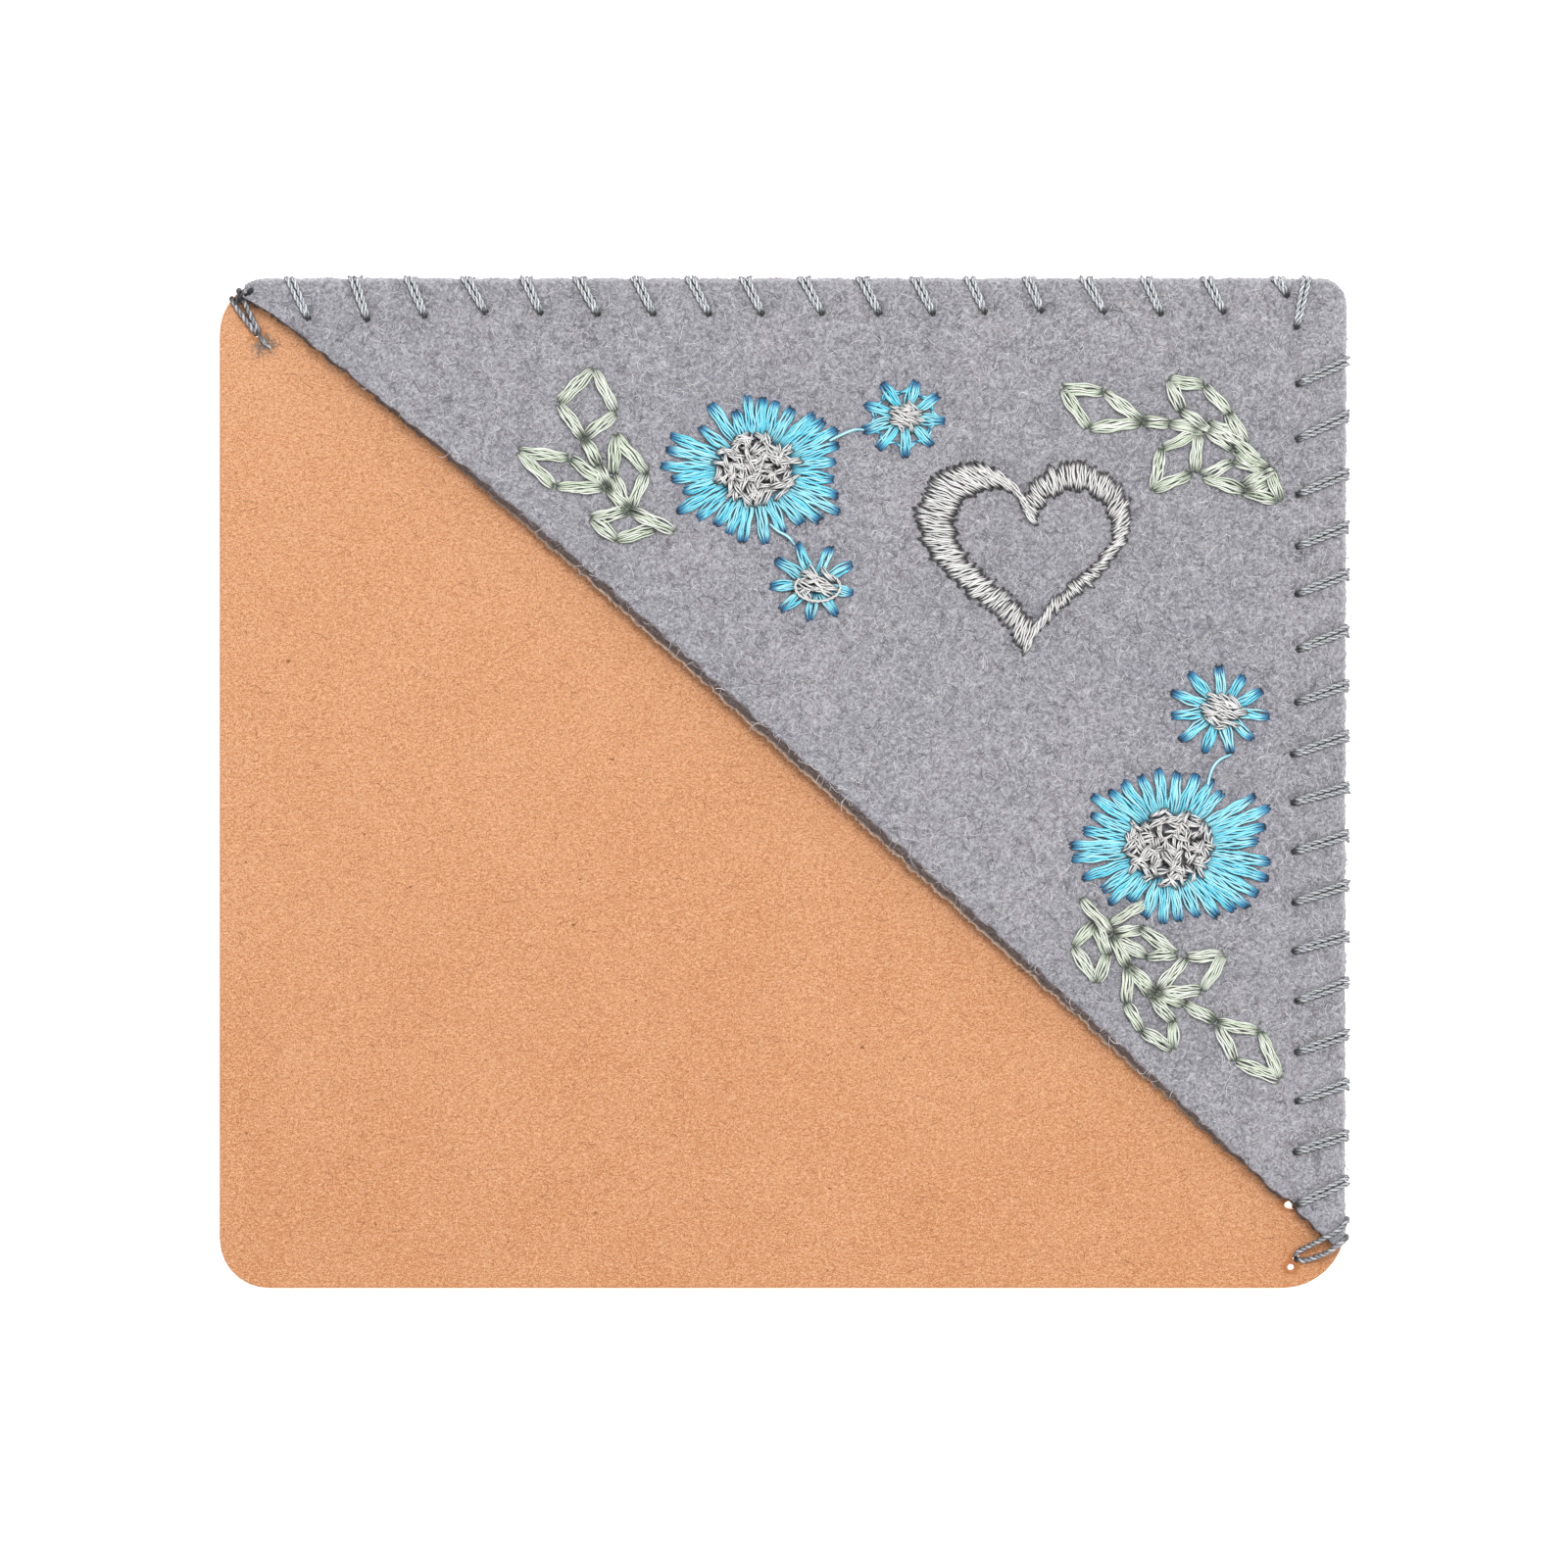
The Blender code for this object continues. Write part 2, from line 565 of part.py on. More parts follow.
def make_petals(name, flower, opening):
    """The ring of petals, open in the middle."""
    outline = petals_outline(flower["centre"], flower["valley"], flower["tips"])
    petals = plate_mesh([outline, ellipse(flower["centre"], opening)], EMBROIDERY_LOW, EMBROIDERY_HIGH)
    lay_on_felt(petals)
    add_part(f"{name}_petals", petals, "blue_thread")


def make_centre(name, flower):
    """The knotted centre that fills the petals' opening."""
    knots = plate_mesh([ellipse(flower["centre"], flower["pad"], 20)], EMBROIDERY_LOW,
                       EMBROIDERY_LOW + CENTRE_THICKNESS)
    lay_on_felt(knots)
    centre = add_part(f"{name}_centre", knots, "silver_thread")
    rounding = centre.modifiers.new("rounding", "BEVEL")
    rounding.width = CENTRE_ROUNDING * MM
    rounding.segments = 2
    rounding.limit_method = "ANGLE"


def make_flower_bobbin(name, flower, opening):
    """The bobbin thread under a flower: a patch under the petals' inner halves."""
    reach = 1.3
    patch = plate_mesh([ellipse(flower["centre"], (opening[0] * reach, opening[1] * reach))],
                       BOBBIN_LOW, BOBBIN_HIGH)
    lay_on_felt(patch)
    add_part(f"bobbin_{name}", patch, "bobbin_thread")


def make_flowers():
    """All five flowers."""
    for name, flower in FLOWERS.items():
        opening = (flower["pad"][0] + THREAD_CLEARANCE, flower["pad"][1] + THREAD_CLEARANCE)
        make_petals(name, flower, opening)
        make_centre(name, flower)
        make_flower_bobbin(name, flower, opening)


def stitch_outline(start, end, width):
    """A stitch seen from above: a bar with pointed ends that reach a little past its holes."""
    start = Vector(start)
    end = Vector(end)
    run = (end - start).normalized()
    side = Vector((-run.y, run.x)) * width / 2
    reach = run * width * 0.5
    return [tuple(point) for point in (
        start - reach, start - side, end - side, end + reach, end + side, start + side)]


def sprig_mesh(runs, width, low, high):
    """All the stitches of a sprig, joined where they meet."""
    bars = []
    for run in runs:
        for start, end in zip(run, run[1:]):
            bars.append(plate_mesh([stitch_outline(start, end, width)], low, high))
    mesh = union_mesh(bars)
    lay_on_felt(mesh)
    return mesh


def make_sprigs():
    """The three leaf sprigs and the bobbin thread under them."""
    for name, runs in SPRIGS.items():
        leaves = sprig_mesh(runs, SPRIG_STITCH_WIDTH, EMBROIDERY_LOW, EMBROIDERY_HIGH)
        add_part(name, leaves, "green_thread")
        under = sprig_mesh(runs, BOBBIN_STITCH_WIDTH, BOBBIN_LOW, BOBBIN_HIGH)
        add_part(f"bobbin_{name}", under, "bobbin_thread")


def heart_outline(scale, shift):
    """A plain heart: a scaled copy of the classic four-cosine curve."""
    points = []
    count = 44
    for step in range(count):
        angle = 2 * math.pi * (step + 0.5) / count
        x = 16 * math.sin(angle) ** 3
        y = 13 * math.cos(angle) - 5 * math.cos(2 * angle) - 2 * math.cos(3 * angle) - math.cos(4 * angle)
        points.append((HEART_CENTRE[0] + shift + scale * HEART_SIZE * x / 32,
                       HEART_CENTRE[1] + scale * HEART_SIZE * (y + 2.5) / 32))
    return points


def make_heart():
    """The satin-stitched heart and the bobbin thread under it."""
    inner = heart_outline(HEART_OPENING, HEART_OPENING_SHIFT)
    band = plate_mesh([heart_outline(1.0, 0.0), inner], EMBROIDERY_LOW, EMBROIDERY_HIGH)
    lay_on_felt(band)
    add_part("heart_motif", band, "silver_thread")
    narrower = 0.04
    under_outline = heart_outline(1.0 - narrower, 0.0)
    under_inner = heart_outline(HEART_OPENING + narrower, HEART_OPENING_SHIFT)
    under_band = plate_mesh([under_outline, under_inner], BOBBIN_LOW, BOBBIN_HIGH)
    lay_on_felt(under_band)
    add_part("bobbin_heart", under_band, "bobbin_thread")


def on_felt(point, height):
    """A point at a height above the felt's surface."""
    x, y = point
    return (x, y, FELT_HIGH + pocket_rise(x, y) + height)


def make_loose_threads():
    """The jump threads between flowers, and the silver loop on the middle blossom."""
    clearance = THREAD_CLEARANCE + EMBROIDERY_STRAND / 2
    for number, places in enumerate(JUMP_THREADS, start=1):
        name = f"jump_thread_{number}"
        route = [on_felt(place, clearance) for place in places]
        add_part(name, tube_curve(name, route, EMBROIDERY_STRAND), "blue_thread")
    height = CENTRE_THICKNESS + 2 * THREAD_CLEARANCE + EMBROIDERY_STRAND
    loop = [on_felt(place, height) for place in ellipse(LOOSE_LOOP_CENTRE, LOOSE_LOOP_SIZE, 20)]
    add_part("loose_silver_loop", tube_curve("loose_silver_loop", loop, EMBROIDERY_STRAND, closed=True),
             "silver_thread")


# ---------------------------------------------------------------- placing
def stand_on_origin():
    """Move the root so that the part's bounding box stands on the world origin at its middle."""
    bpy.context.view_layer.update()
    depsgraph = bpy.context.evaluated_depsgraph_get()
    corners = []
    for part in PARTS.objects:
        if part.type in {"MESH", "CURVE"}:
            mesh = bpy.data.meshes.new_from_object(part.evaluated_get(depsgraph))
            corners += [part.matrix_world @ vertex.co for vertex in mesh.vertices]
            bpy.data.meshes.remove(mesh)
    lowest = Vector([min(corner[axis] for corner in corners) for axis in range(3)])
    highest = Vector([max(corner[axis] for corner in corners) for axis in range(3)])
    middle = (lowest + highest) / 2
    ROOT.location = -Vector((middle.x, middle.y, lowest.z))


clear_scene()
PARTS = new_collection("felt_corner_pocket")
CUTTERS = new_collection("cutters")
ROOT = bpy.data.objects.new("pocket_root", None)
PARTS.objects.link(ROOT)

make_card()
make_felt()
make_seam_thread()
make_ties()
make_knot()
make_tail()
make_flowers()
make_sprigs()
make_heart()
make_loose_threads()
stand_on_origin()
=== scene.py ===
import math

import bmesh
import bpy
import numpy as np
from mathutils.geometry import delaunay_2d_cdt
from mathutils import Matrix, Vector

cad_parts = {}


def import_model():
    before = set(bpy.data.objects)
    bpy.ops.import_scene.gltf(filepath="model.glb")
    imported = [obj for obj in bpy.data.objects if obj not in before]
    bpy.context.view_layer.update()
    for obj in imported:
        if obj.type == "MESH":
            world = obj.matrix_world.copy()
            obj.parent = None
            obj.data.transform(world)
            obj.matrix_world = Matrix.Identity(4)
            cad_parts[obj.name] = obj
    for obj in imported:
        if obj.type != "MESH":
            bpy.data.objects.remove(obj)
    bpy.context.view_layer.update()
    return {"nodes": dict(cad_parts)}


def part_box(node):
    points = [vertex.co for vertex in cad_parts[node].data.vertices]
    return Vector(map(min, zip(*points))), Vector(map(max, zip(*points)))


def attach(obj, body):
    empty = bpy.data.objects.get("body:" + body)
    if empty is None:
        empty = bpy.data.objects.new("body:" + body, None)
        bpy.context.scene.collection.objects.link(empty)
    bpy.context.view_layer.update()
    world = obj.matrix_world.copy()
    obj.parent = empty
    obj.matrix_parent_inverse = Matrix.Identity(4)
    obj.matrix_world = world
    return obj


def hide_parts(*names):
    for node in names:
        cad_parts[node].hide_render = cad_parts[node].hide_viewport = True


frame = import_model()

# The drawing's lengths are in millimetres, from the middle of the card's back.
MM = 0.001
CARD_LOW, CARD_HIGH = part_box("kraft_card")
FELT_BOX_LOW, FELT_BOX_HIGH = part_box("felt_pocket")
ORIGIN = np.array([(CARD_LOW.x + CARD_HIGH.x) / 2, (CARD_LOW.y + CARD_HIGH.y) / 2, CARD_LOW.z])
RIGHT = (CARD_HIGH.x - CARD_LOW.x) / 2 / MM
TOP = (CARD_HIGH.y - CARD_LOW.y) / 2 / MM
CARD_THICKNESS = (CARD_HIGH.z - CARD_LOW.z) / MM
FELT_LOW = (FELT_BOX_LOW.z - CARD_LOW.z) / MM
FELT_THICKNESS = 1.2
FELT_HIGH = FELT_LOW + FELT_THICKNESS
POCKET_RISE = 1.0           # how much further the felt bows up at the middle of the mouth
CARD_CORNER = 3.5
FELT_CORNER = 1.85
TOP_HOLE_LINE = TOP - 2.6
RIGHT_HOLE_LINE = RIGHT - 3.6
MOUTH_START = np.array([-38.3, 34.5])
MOUTH_END = np.array([39.75, -33.4])
MOUTH_BOW = 0.98            # the mouth's edge is a slightly hollow line
MOUTH_RUN = MOUTH_END - MOUTH_START
MOUTH_ALONG = MOUTH_RUN / np.linalg.norm(MOUTH_RUN)
MOUTH_INWARD = np.array([-MOUTH_ALONG[1], MOUTH_ALONG[0]])
STRAND = 0.36               # one strand of the doubled seam thread
STRAND_SPACING = 0.4        # between the middles of the two strands
WALL_ROWS = 5               # rows of points between the felt's two faces
STITCH_POINTS = 15          # along each strand of an embroidery stitch
RANDOM = np.random.default_rng(7)


# ---------------------------------------------------------------- materials
class Nodes:
    """A short way to write a material's node tree."""

    def __init__(self, name):
        self.material = bpy.data.materials.new(name)
        self.material.use_nodes = True
        self.tree = self.material.node_tree
        self.shader = self.tree.nodes["Principled BSDF"]

    def add(self, kind, inputs=None, **settings):
        """Add a node; an input is a value, or the output socket that feeds it."""
        node = self.tree.nodes.new(kind)
        for key, value in settings.items():
            setattr(node, key, value)
        for key, value in (inputs or {}).items():
            if isinstance(value, bpy.types.NodeSocket):
                self.tree.links.new(value, node.inputs[key])
            else:
                node.inputs[key].default_value = value
        return node

    def coordinates(self, stretch=(1.0, 1.0, 1.0)):
        """The place on the object, in stretched millimetres."""
        place = self.add("ShaderNodeTexCoord").outputs["Object"]
        scale = tuple(1000 * share for share in stretch)
        return self.add("ShaderNodeMapping", {"Vector": place, "Scale": scale}).outputs[0]

    def noise(self, place, scale, detail=2.0, distortion=0.0):
        """A noise value, with its features about 1 / scale millimetres wide."""
        return self.add("ShaderNodeTexNoise", {"Vector": place, "Scale": scale, "Detail": detail,
                                               "Distortion": distortion}).outputs["Fac"]

    def math(self, operation, *values, clamp=False):
        """A math node."""
        inputs = {number: value for number, value in enumerate(values)}
        return self.add("ShaderNodeMath", inputs, operation=operation, use_clamp=clamp).outputs[0]

    def band(self, value, low, high, to_low=0.0, to_high=1.0):
        """Map a value's range to another range, clamped."""
        return self.add("ShaderNodeMapRange", {0: value, 1: low, 2: high, 3: to_low, 4: to_high}).outputs[0]

    def mix(self, share, first, second, blend="MIX"):
        """Mix two colours."""
        node = self.add("ShaderNodeMix", data_type="RGBA", blend_type=blend)
        for index, value in ((0, share), (6, first), (7, second)):
            if isinstance(value, bpy.types.NodeSocket):
                self.tree.links.new(value, node.inputs[index])
            elif index == 0:
                node.inputs[index].default_value = value
            else:
                node.inputs[index].default_value = (*value, 1.0)
        return node.outputs[2]

    def tint(self, colour, value, low, high, amount, other):
        """Blend another colour in, up to an amount, as a value goes from low to high."""
        return self.mix(self.band(value, low, high, 0.0, amount), colour, other)

    def attribute(self, name):
        """A value stored on the mesh."""
        return self.add("ShaderNodeAttribute", attribute_name=name).outputs["Fac"]

    def finish(self, colour, height=None, bump=0.3, distance=0.0001, roughness=0.9, specular=0.3, sheen=0.0):
        """Connect the colour and the bump, and return the material."""
        self.tree.links.new(colour, self.shader.inputs["Base Color"])
        if isinstance(roughness, bpy.types.NodeSocket):
            self.tree.links.new(roughness, self.shader.inputs["Roughness"])
        else:
            self.shader.inputs["Roughness"].default_value = roughness
        self.shader.inputs["Specular IOR Level"].default_value = specular
        self.shader.inputs["Sheen Weight"].default_value = sheen
        self.shader.inputs["Sheen Roughness"].default_value = 0.6
        if height is not None:
            bumped = self.add("ShaderNodeBump", {"Strength": bump, "Distance": distance, "Height": height})
            self.tree.links.new(bumped.outputs[0], self.shader.inputs["Normal"])
        return self.material


def srgb(red, green, blue):
    """A colour from its 0 to 255 screen values."""
    return tuple(((value / 255 + 0.055) / 1.055) ** 2.4 for value in (red, green, blue))


def kraft_material():
    """Kraft paper: clouded tan with fine fibres along the card, specks and a faint tooth."""
    nodes = Nodes("kraft_paper")
    plain = nodes.coordinates()
    fibre = nodes.noise(nodes.coordinates((0.55, 1.0, 1.0)), 6.5, detail=5.0, distortion=0.5)
    grain = nodes.noise(plain, 13.0, detail=2.0)
    cloud = nodes.noise(plain, 0.12, detail=4.0)
    speck = nodes.noise(nodes.coordinates((0.8, 1.0, 1.0)), 2.2, detail=1.0)
    up = nodes.add("ShaderNodeSeparateXYZ", {0: plain}).outputs[1]
    colour = nodes.tint(srgb(203, 139, 93), up, -36.0, 30.0, 1.0, srgb(216, 155, 112))
    colour = nodes.tint(colour, cloud, 0.35, 0.65, 0.35, srgb(226, 168, 128))
    colour = nodes.tint(colour, fibre, 0.5, 0.68, 0.75, srgb(240, 186, 144))
    colour = nodes.tint(colour, fibre, 0.48, 0.32, 0.65, srgb(176, 113, 68))
    colour = nodes.tint(colour, grain, 0.5, 0.68, 0.8, srgb(242, 192, 152))
    colour = nodes.tint(colour, grain, 0.5, 0.34, 0.8, srgb(164, 102, 58))
    colour = nodes.tint(colour, speck, 0.22, 0.18, 0.75, srgb(112, 70, 40))
    # The paper is bruised where the needle came through.
    bruise = nodes.math("MULTIPLY", nodes.attribute("bruise"), nodes.band(grain, 0.35, 0.6))
    colour = nodes.tint(colour, bruise, 0.15, 0.9, 0.7, srgb(170, 96, 44))
    # A smudge of thread fluff lies round the thread's cut end.
    place = nodes.add("ShaderNodeTexCoord").outputs["Object"]
    smudge_centre = tuple(world((-36.95, 31.15, CARD_THICKNESS)))
    from_smudge = nodes.add("ShaderNodeVectorMath", {0: place, 1: smudge_centre}, operation="DISTANCE")
    smudge = nodes.band(from_smudge.outputs["Value"], 0.0013, 0.0003, 0.0, 0.7)
    smudge = nodes.math("MULTIPLY", smudge, nodes.band(nodes.noise(plain, 1.8, detail=3.0), 0.35, 0.65))
    colour = nodes.mix(smudge, colour, srgb(140, 122, 106))
    colour = nodes.tint(colour, nodes.attribute("edge"), 0.0, 1.0, 0.55, srgb(190, 128, 84))
    height = nodes.math("ADD", fibre, nodes.math("MULTIPLY", grain, 0.6))
    return nodes.finish(colour, height, bump=0.35, distance=0.00005, roughness=0.82, specular=0.25)


def felt_material():
    """Pressed felt: lilac grey with a web of pale fibres and dark pits of painted shade; the cut wall under
    the mouth is painted shade, with a painted highlight at its foot and a painted contact shadow.
    """
    nodes = Nodes("grey_felt")
    place = nodes.coordinates()
    cloud = nodes.noise(place, 0.16, detail=3.0)
    grain = nodes.noise(place, 4.6, detail=3.0, distortion=0.8)
    pit = nodes.noise(place, 3.4, detail=2.0, distortion=0.4)
    pale = srgb(206, 204, 212)
    colour = nodes.tint(srgb(138, 136, 144), cloud, 0.3, 0.7, 1.0, srgb(154, 152, 157))
    colour = nodes.tint(colour, grain, 0.5, 0.7, 0.8, pale)
    colour = nodes.tint(colour, grain, 0.5, 0.3, 0.8, srgb(104, 102, 110))
    threads = []
    for scale, distortion in ((0.9, 1.6), (1.7, 1.1), (2.9, 0.8)):
        line = nodes.noise(place, scale, detail=2.5, distortion=distortion)
        ridge = nodes.math("ABSOLUTE", nodes.math("SUBTRACT", line, 0.5))
        threads.append(nodes.band(ridge, 0.035, 0.0))
    web = nodes.math("MAXIMUM", nodes.math("MAXIMUM", threads[0], threads[1]), threads[2])
    colour = nodes.mix(nodes.math("MULTIPLY", web, 0.55), colour, pale)
    # The pits are painted darker: painted shade in the felt's hollows, which the bump also lowers.
    colour = nodes.tint(colour, pit, 0.45, 0.28, 0.75, srgb(112, 109, 118))
    # The cut wall under the mouth's lip is painted dark grey brown: painted shade, warmed by light bounced
    # from the card.
    wall_grain = nodes.noise(nodes.coordinates((0.6, 0.6, 2.0)), 4.0, detail=3.0)
    wall_shade_colour = nodes.tint(srgb(60, 49, 46), wall_grain, 0.35, 0.65, 1.0, srgb(112, 99, 95))
    colour = nodes.mix(nodes.attribute("wall"), colour, wall_shade_colour)
    # The foot of the cut in the open part of the mouth is painted pale peach: a painted highlight, warmed by
    # light bounced from the card.
    colour = nodes.mix(nodes.attribute("rim"), colour, srgb(255, 228, 206))
    # A painted contact shadow, dark red brown, where the felt's cut meets the card.
    colour = nodes.mix(nodes.attribute("contact"), colour, srgb(44, 24, 18))
    height = nodes.math("ADD", nodes.math("MULTIPLY", web, 0.5), pit)
    return nodes.finish(colour, height, bump=0.6, distance=0.0001, roughness=0.95, specular=0.15, sheen=0.25)


def fibre_material(name, first, second):
    """Loose fibres, each with its own tone."""
    nodes = Nodes(name)
    colour = nodes.mix(nodes.attribute("tone"), first, second)
    return nodes.finish(colour, roughness=0.8, specular=0.2, sheen=0.2)


def thread_material(name, highlight, middle, side, end, roughness=0.42):
    """Glossy thread: each strand has its own tone, a share of a painted highlight colour, with painted shade
    between strands and the darkest painted shade at its ends.
    """
    nodes = Nodes(name)
    # Each strand's tone mixes the thread's own colour with a painted highlight colour.
    colour = nodes.mix(nodes.attribute("tone"), middle, highlight)
    fuzz_and_glint = nodes.noise(nodes.coordinates(), 6.0, detail=2.0)
    near_end_shade = nodes.attribute("end")
    # Painted glints: the noise paints streaks of the highlight colour, and also bumps the thread.
    colour = nodes.tint(colour, fuzz_and_glint, 0.55, 0.72, 0.6, highlight)
    # Painted shade on each strand's lower sides, where it lies against its neighbours.
    colour = nodes.tint(colour, nodes.attribute("crown"), 0.92, 0.74, 0.85, side)
    # Painted shade where the strand dives into its hole, near black at the very end.
    colour = nodes.tint(colour, near_end_shade, 0.1, 0.8, 0.9, side)
    colour = nodes.tint(colour, near_end_shade, 0.8, 1.0, 1.0, end)
    return nodes.finish(colour, fuzz_and_glint, bump=0.25, distance=0.00003, roughness=roughness, specular=0.5,
                        sheen=0.15)


# ---------------------------------------------------------------- mesh tools
def world(points):
    """Drawing points in millimetres, as places in the frame."""
    return np.asarray(points) * MM + ORIGIN


def add_piece(name, vertices, faces, material, attributes=None, smooth=True):
    """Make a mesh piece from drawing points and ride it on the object."""
    mesh = bpy.data.meshes.new(name)
    mesh.from_pydata(world(vertices).tolist(), [], faces)
    shell = bmesh.new()
    shell.from_mesh(mesh)
    bmesh.ops.recalc_face_normals(shell, faces=shell.faces)
    shell.to_mesh(mesh)
    shell.free()
    for key, values in (attributes or {}).items():
        layer = mesh.attributes.new(key, "FLOAT", "POINT")
        layer.data.foreach_set("value", np.asarray(values, dtype=np.float32))
    mesh.materials.append(material)
    if smooth:
        mesh.shade_smooth()
    piece = bpy.data.objects.new(name, mesh)
    bpy.context.scene.collection.objects.link(piece)
    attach(piece, "root")
    return piece


def unit(vector):
    """A vector's direction."""
    return vector / np.linalg.norm(vector)


def directions(angles):
    """Flat unit vectors at the given angles."""
    return np.stack([np.cos(angles), np.sin(angles)], axis=-1)


def run_lengths(points):
    """How far along a line each of its points is."""
    return np.concatenate([[0], np.cumsum(np.linalg.norm(np.diff(points, axis=0), axis=1))])


def read_line(points, lengths, places):
    """The places on a line at the given lengths along it."""
    return np.stack([np.interp(places, lengths, points[:, axis]) for axis in range(points.shape[1])], axis=1)


def resample(points, count):
    """A smooth curve through the points, read at evenly spaced places."""
    points = np.asarray(points, dtype=float)
    padded = np.vstack([2 * points[0] - points[1], points, 2 * points[-1] - points[-2]])
    fine = []
    for number in range(len(points) - 1):
        before, start, end, after = padded[number:number + 4]
        for share in np.linspace(0, 1, 8, endpoint=False):
            fine.append(0.5 * (2 * start + (end - before) * share
                               + (2 * before - 5 * start + 4 * end - after) * share ** 2
                               + (3 * start - before - 3 * end + after) * share ** 3))
    fine = np.array([*fine, points[-1]])
    lengths = run_lengths(fine)
    return read_line(fine, lengths, np.linspace(0, lengths[-1], count))


def path_frames(paths):
    """Tangent, normal and side of each point of paths shaped (paths, points, 3), carried without twist."""
    tangents = np.gradient(paths, axis=1)
    tangents /= np.linalg.norm(tangents, axis=2, keepdims=True) + 1e-12
    normal = np.zeros_like(paths[:, 0])
    steep = np.abs(tangents[:, 0, 2]) > 0.9
    normal[:, 2] = ~steep
    normal[:, 0] = steep
    normals = np.zeros_like(paths)
    for number in range(paths.shape[1]):
        tangent = tangents[:, number]
        normal = normal - (normal * tangent).sum(axis=1, keepdims=True) * tangent
        normal /= np.linalg.norm(normal, axis=1, keepdims=True) + 1e-12
        normals[:, number] = normal
    return tangents, normals, np.cross(tangents, normals)


def tubes(paths, radii, sides):
    """Round tubes along paths shaped (paths, points, 3). Returns vertices, faces and each vertex's crown."""
    count, length = paths.shape[:2]
    _, normals, binormals = path_frames(paths)
    radii = np.broadcast_to(np.asarray(radii, dtype=float), (count, length))
    angles = 2 * np.pi * np.arange(sides) / sides
    out = (normals[:, :, None] * np.cos(angles)[None, None, :, None]
           + binormals[:, :, None] * np.sin(angles)[None, None, :, None])
    vertices = paths[:, :, None] + out * radii[:, :, None, None]
    index = np.arange(count * length * sides).reshape(count, length, sides)
    turned = np.roll(index, -1, axis=2)
    squares = np.stack([index[:, :-1], turned[:, :-1], turned[:, 1:], index[:, 1:]], axis=-1)
    faces = squares.reshape(-1, 4).tolist() + index[:, 0, ::-1].tolist() + index[:, -1].tolist()
    crown = (out[..., 2].reshape(-1) + 1) / 2
    return vertices.reshape(-1, 3), faces, crown


def strand_piece(name, node, paths, radius, material, ends=None, tones=None, sides=6):
    """A piece made of strands that all have the same number of points."""
    paths = np.asarray(paths, dtype=float)
    count, length = paths.shape[:2]
    vertices, faces, crown = tubes(paths, radius, sides)
    if tones is None:
        tones = RANDOM.random(count)
    if ends is None:
        ends = np.zeros((count, length))
    attributes = {"crown": crown, "tone": np.repeat(tones, length * sides),
                  "end": np.repeat(np.asarray(ends).reshape(-1), sides)}
    piece = add_piece(name, vertices, faces, material, attributes)
    if node:
        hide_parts(node)
    return piece


# ---------------------------------------------------------------- the felt's shape
def pocket_rise(x, y):
    """Height that the bowed felt adds over a point."""
    across = np.maximum(0.0, (RIGHT_HOLE_LINE - x) / (RIGHT_HOLE_LINE - MOUTH_START[0]))
    down = np.maximum(0.0, (TOP_HOLE_LINE - y) / (TOP_HOLE_LINE - MOUTH_END[1]))
    return 4 * POCKET_RISE * across * down


def arc(centre, radius, start, end, steps):
    """Points along an arc, with its angles in degrees."""
    return np.array(centre) + radius * directions(np.radians(np.linspace(start, end, steps)))


def mouth_hollow(shares):
    """How far the mouth's lower edge bows into the felt, at shares of its length."""
    return MOUTH_BOW * np.sin(math.pi * shares ** 0.55) * np.sqrt(1 - shares)


def mouth_points(shares):
    """Points on the mouth's lower edge, from its top left end to its bottom right end."""
    return MOUTH_START + MOUTH_RUN * shares[:, None] + MOUTH_INWARD * mouth_hollow(shares)[:, None]


def even_outline(points, spacing):
    """A closed outline read at even spacing."""
    points = np.vstack([points, points[:1]])
    lengths = run_lengths(points)
    count = int(lengths[-1] / spacing)
    return read_line(points, lengths, np.linspace(0, lengths[-1], count, endpoint=False))


def distance_to(points, starts, ends):
    """Distance from each point to the nearest of the segments."""
    nearest = np.full(len(points), 1e9)
    for start, end in zip(starts, ends):
        run = end - start
        share = np.clip(((points - start) @ run) / max(run @ run, 1e-12), 0, 1)
        nearest = np.minimum(nearest, np.linalg.norm(points - start - share[:, None] * run, axis=1))
    return nearest


def inside(points, outline):
    """Which points lie inside a closed outline."""
    result = np.zeros(len(points), dtype=bool)
    for (x0, y0), (x1, y1) in zip(outline, np.roll(outline, -1, axis=0)):
        crosses = (y0 > points[:, 1]) != (y1 > points[:, 1])
        if y1 != y0:
            result ^= crosses & (points[:, 0] < (x1 - x0) * (points[:, 1] - y0) / (y1 - y0) + x0)
    return result


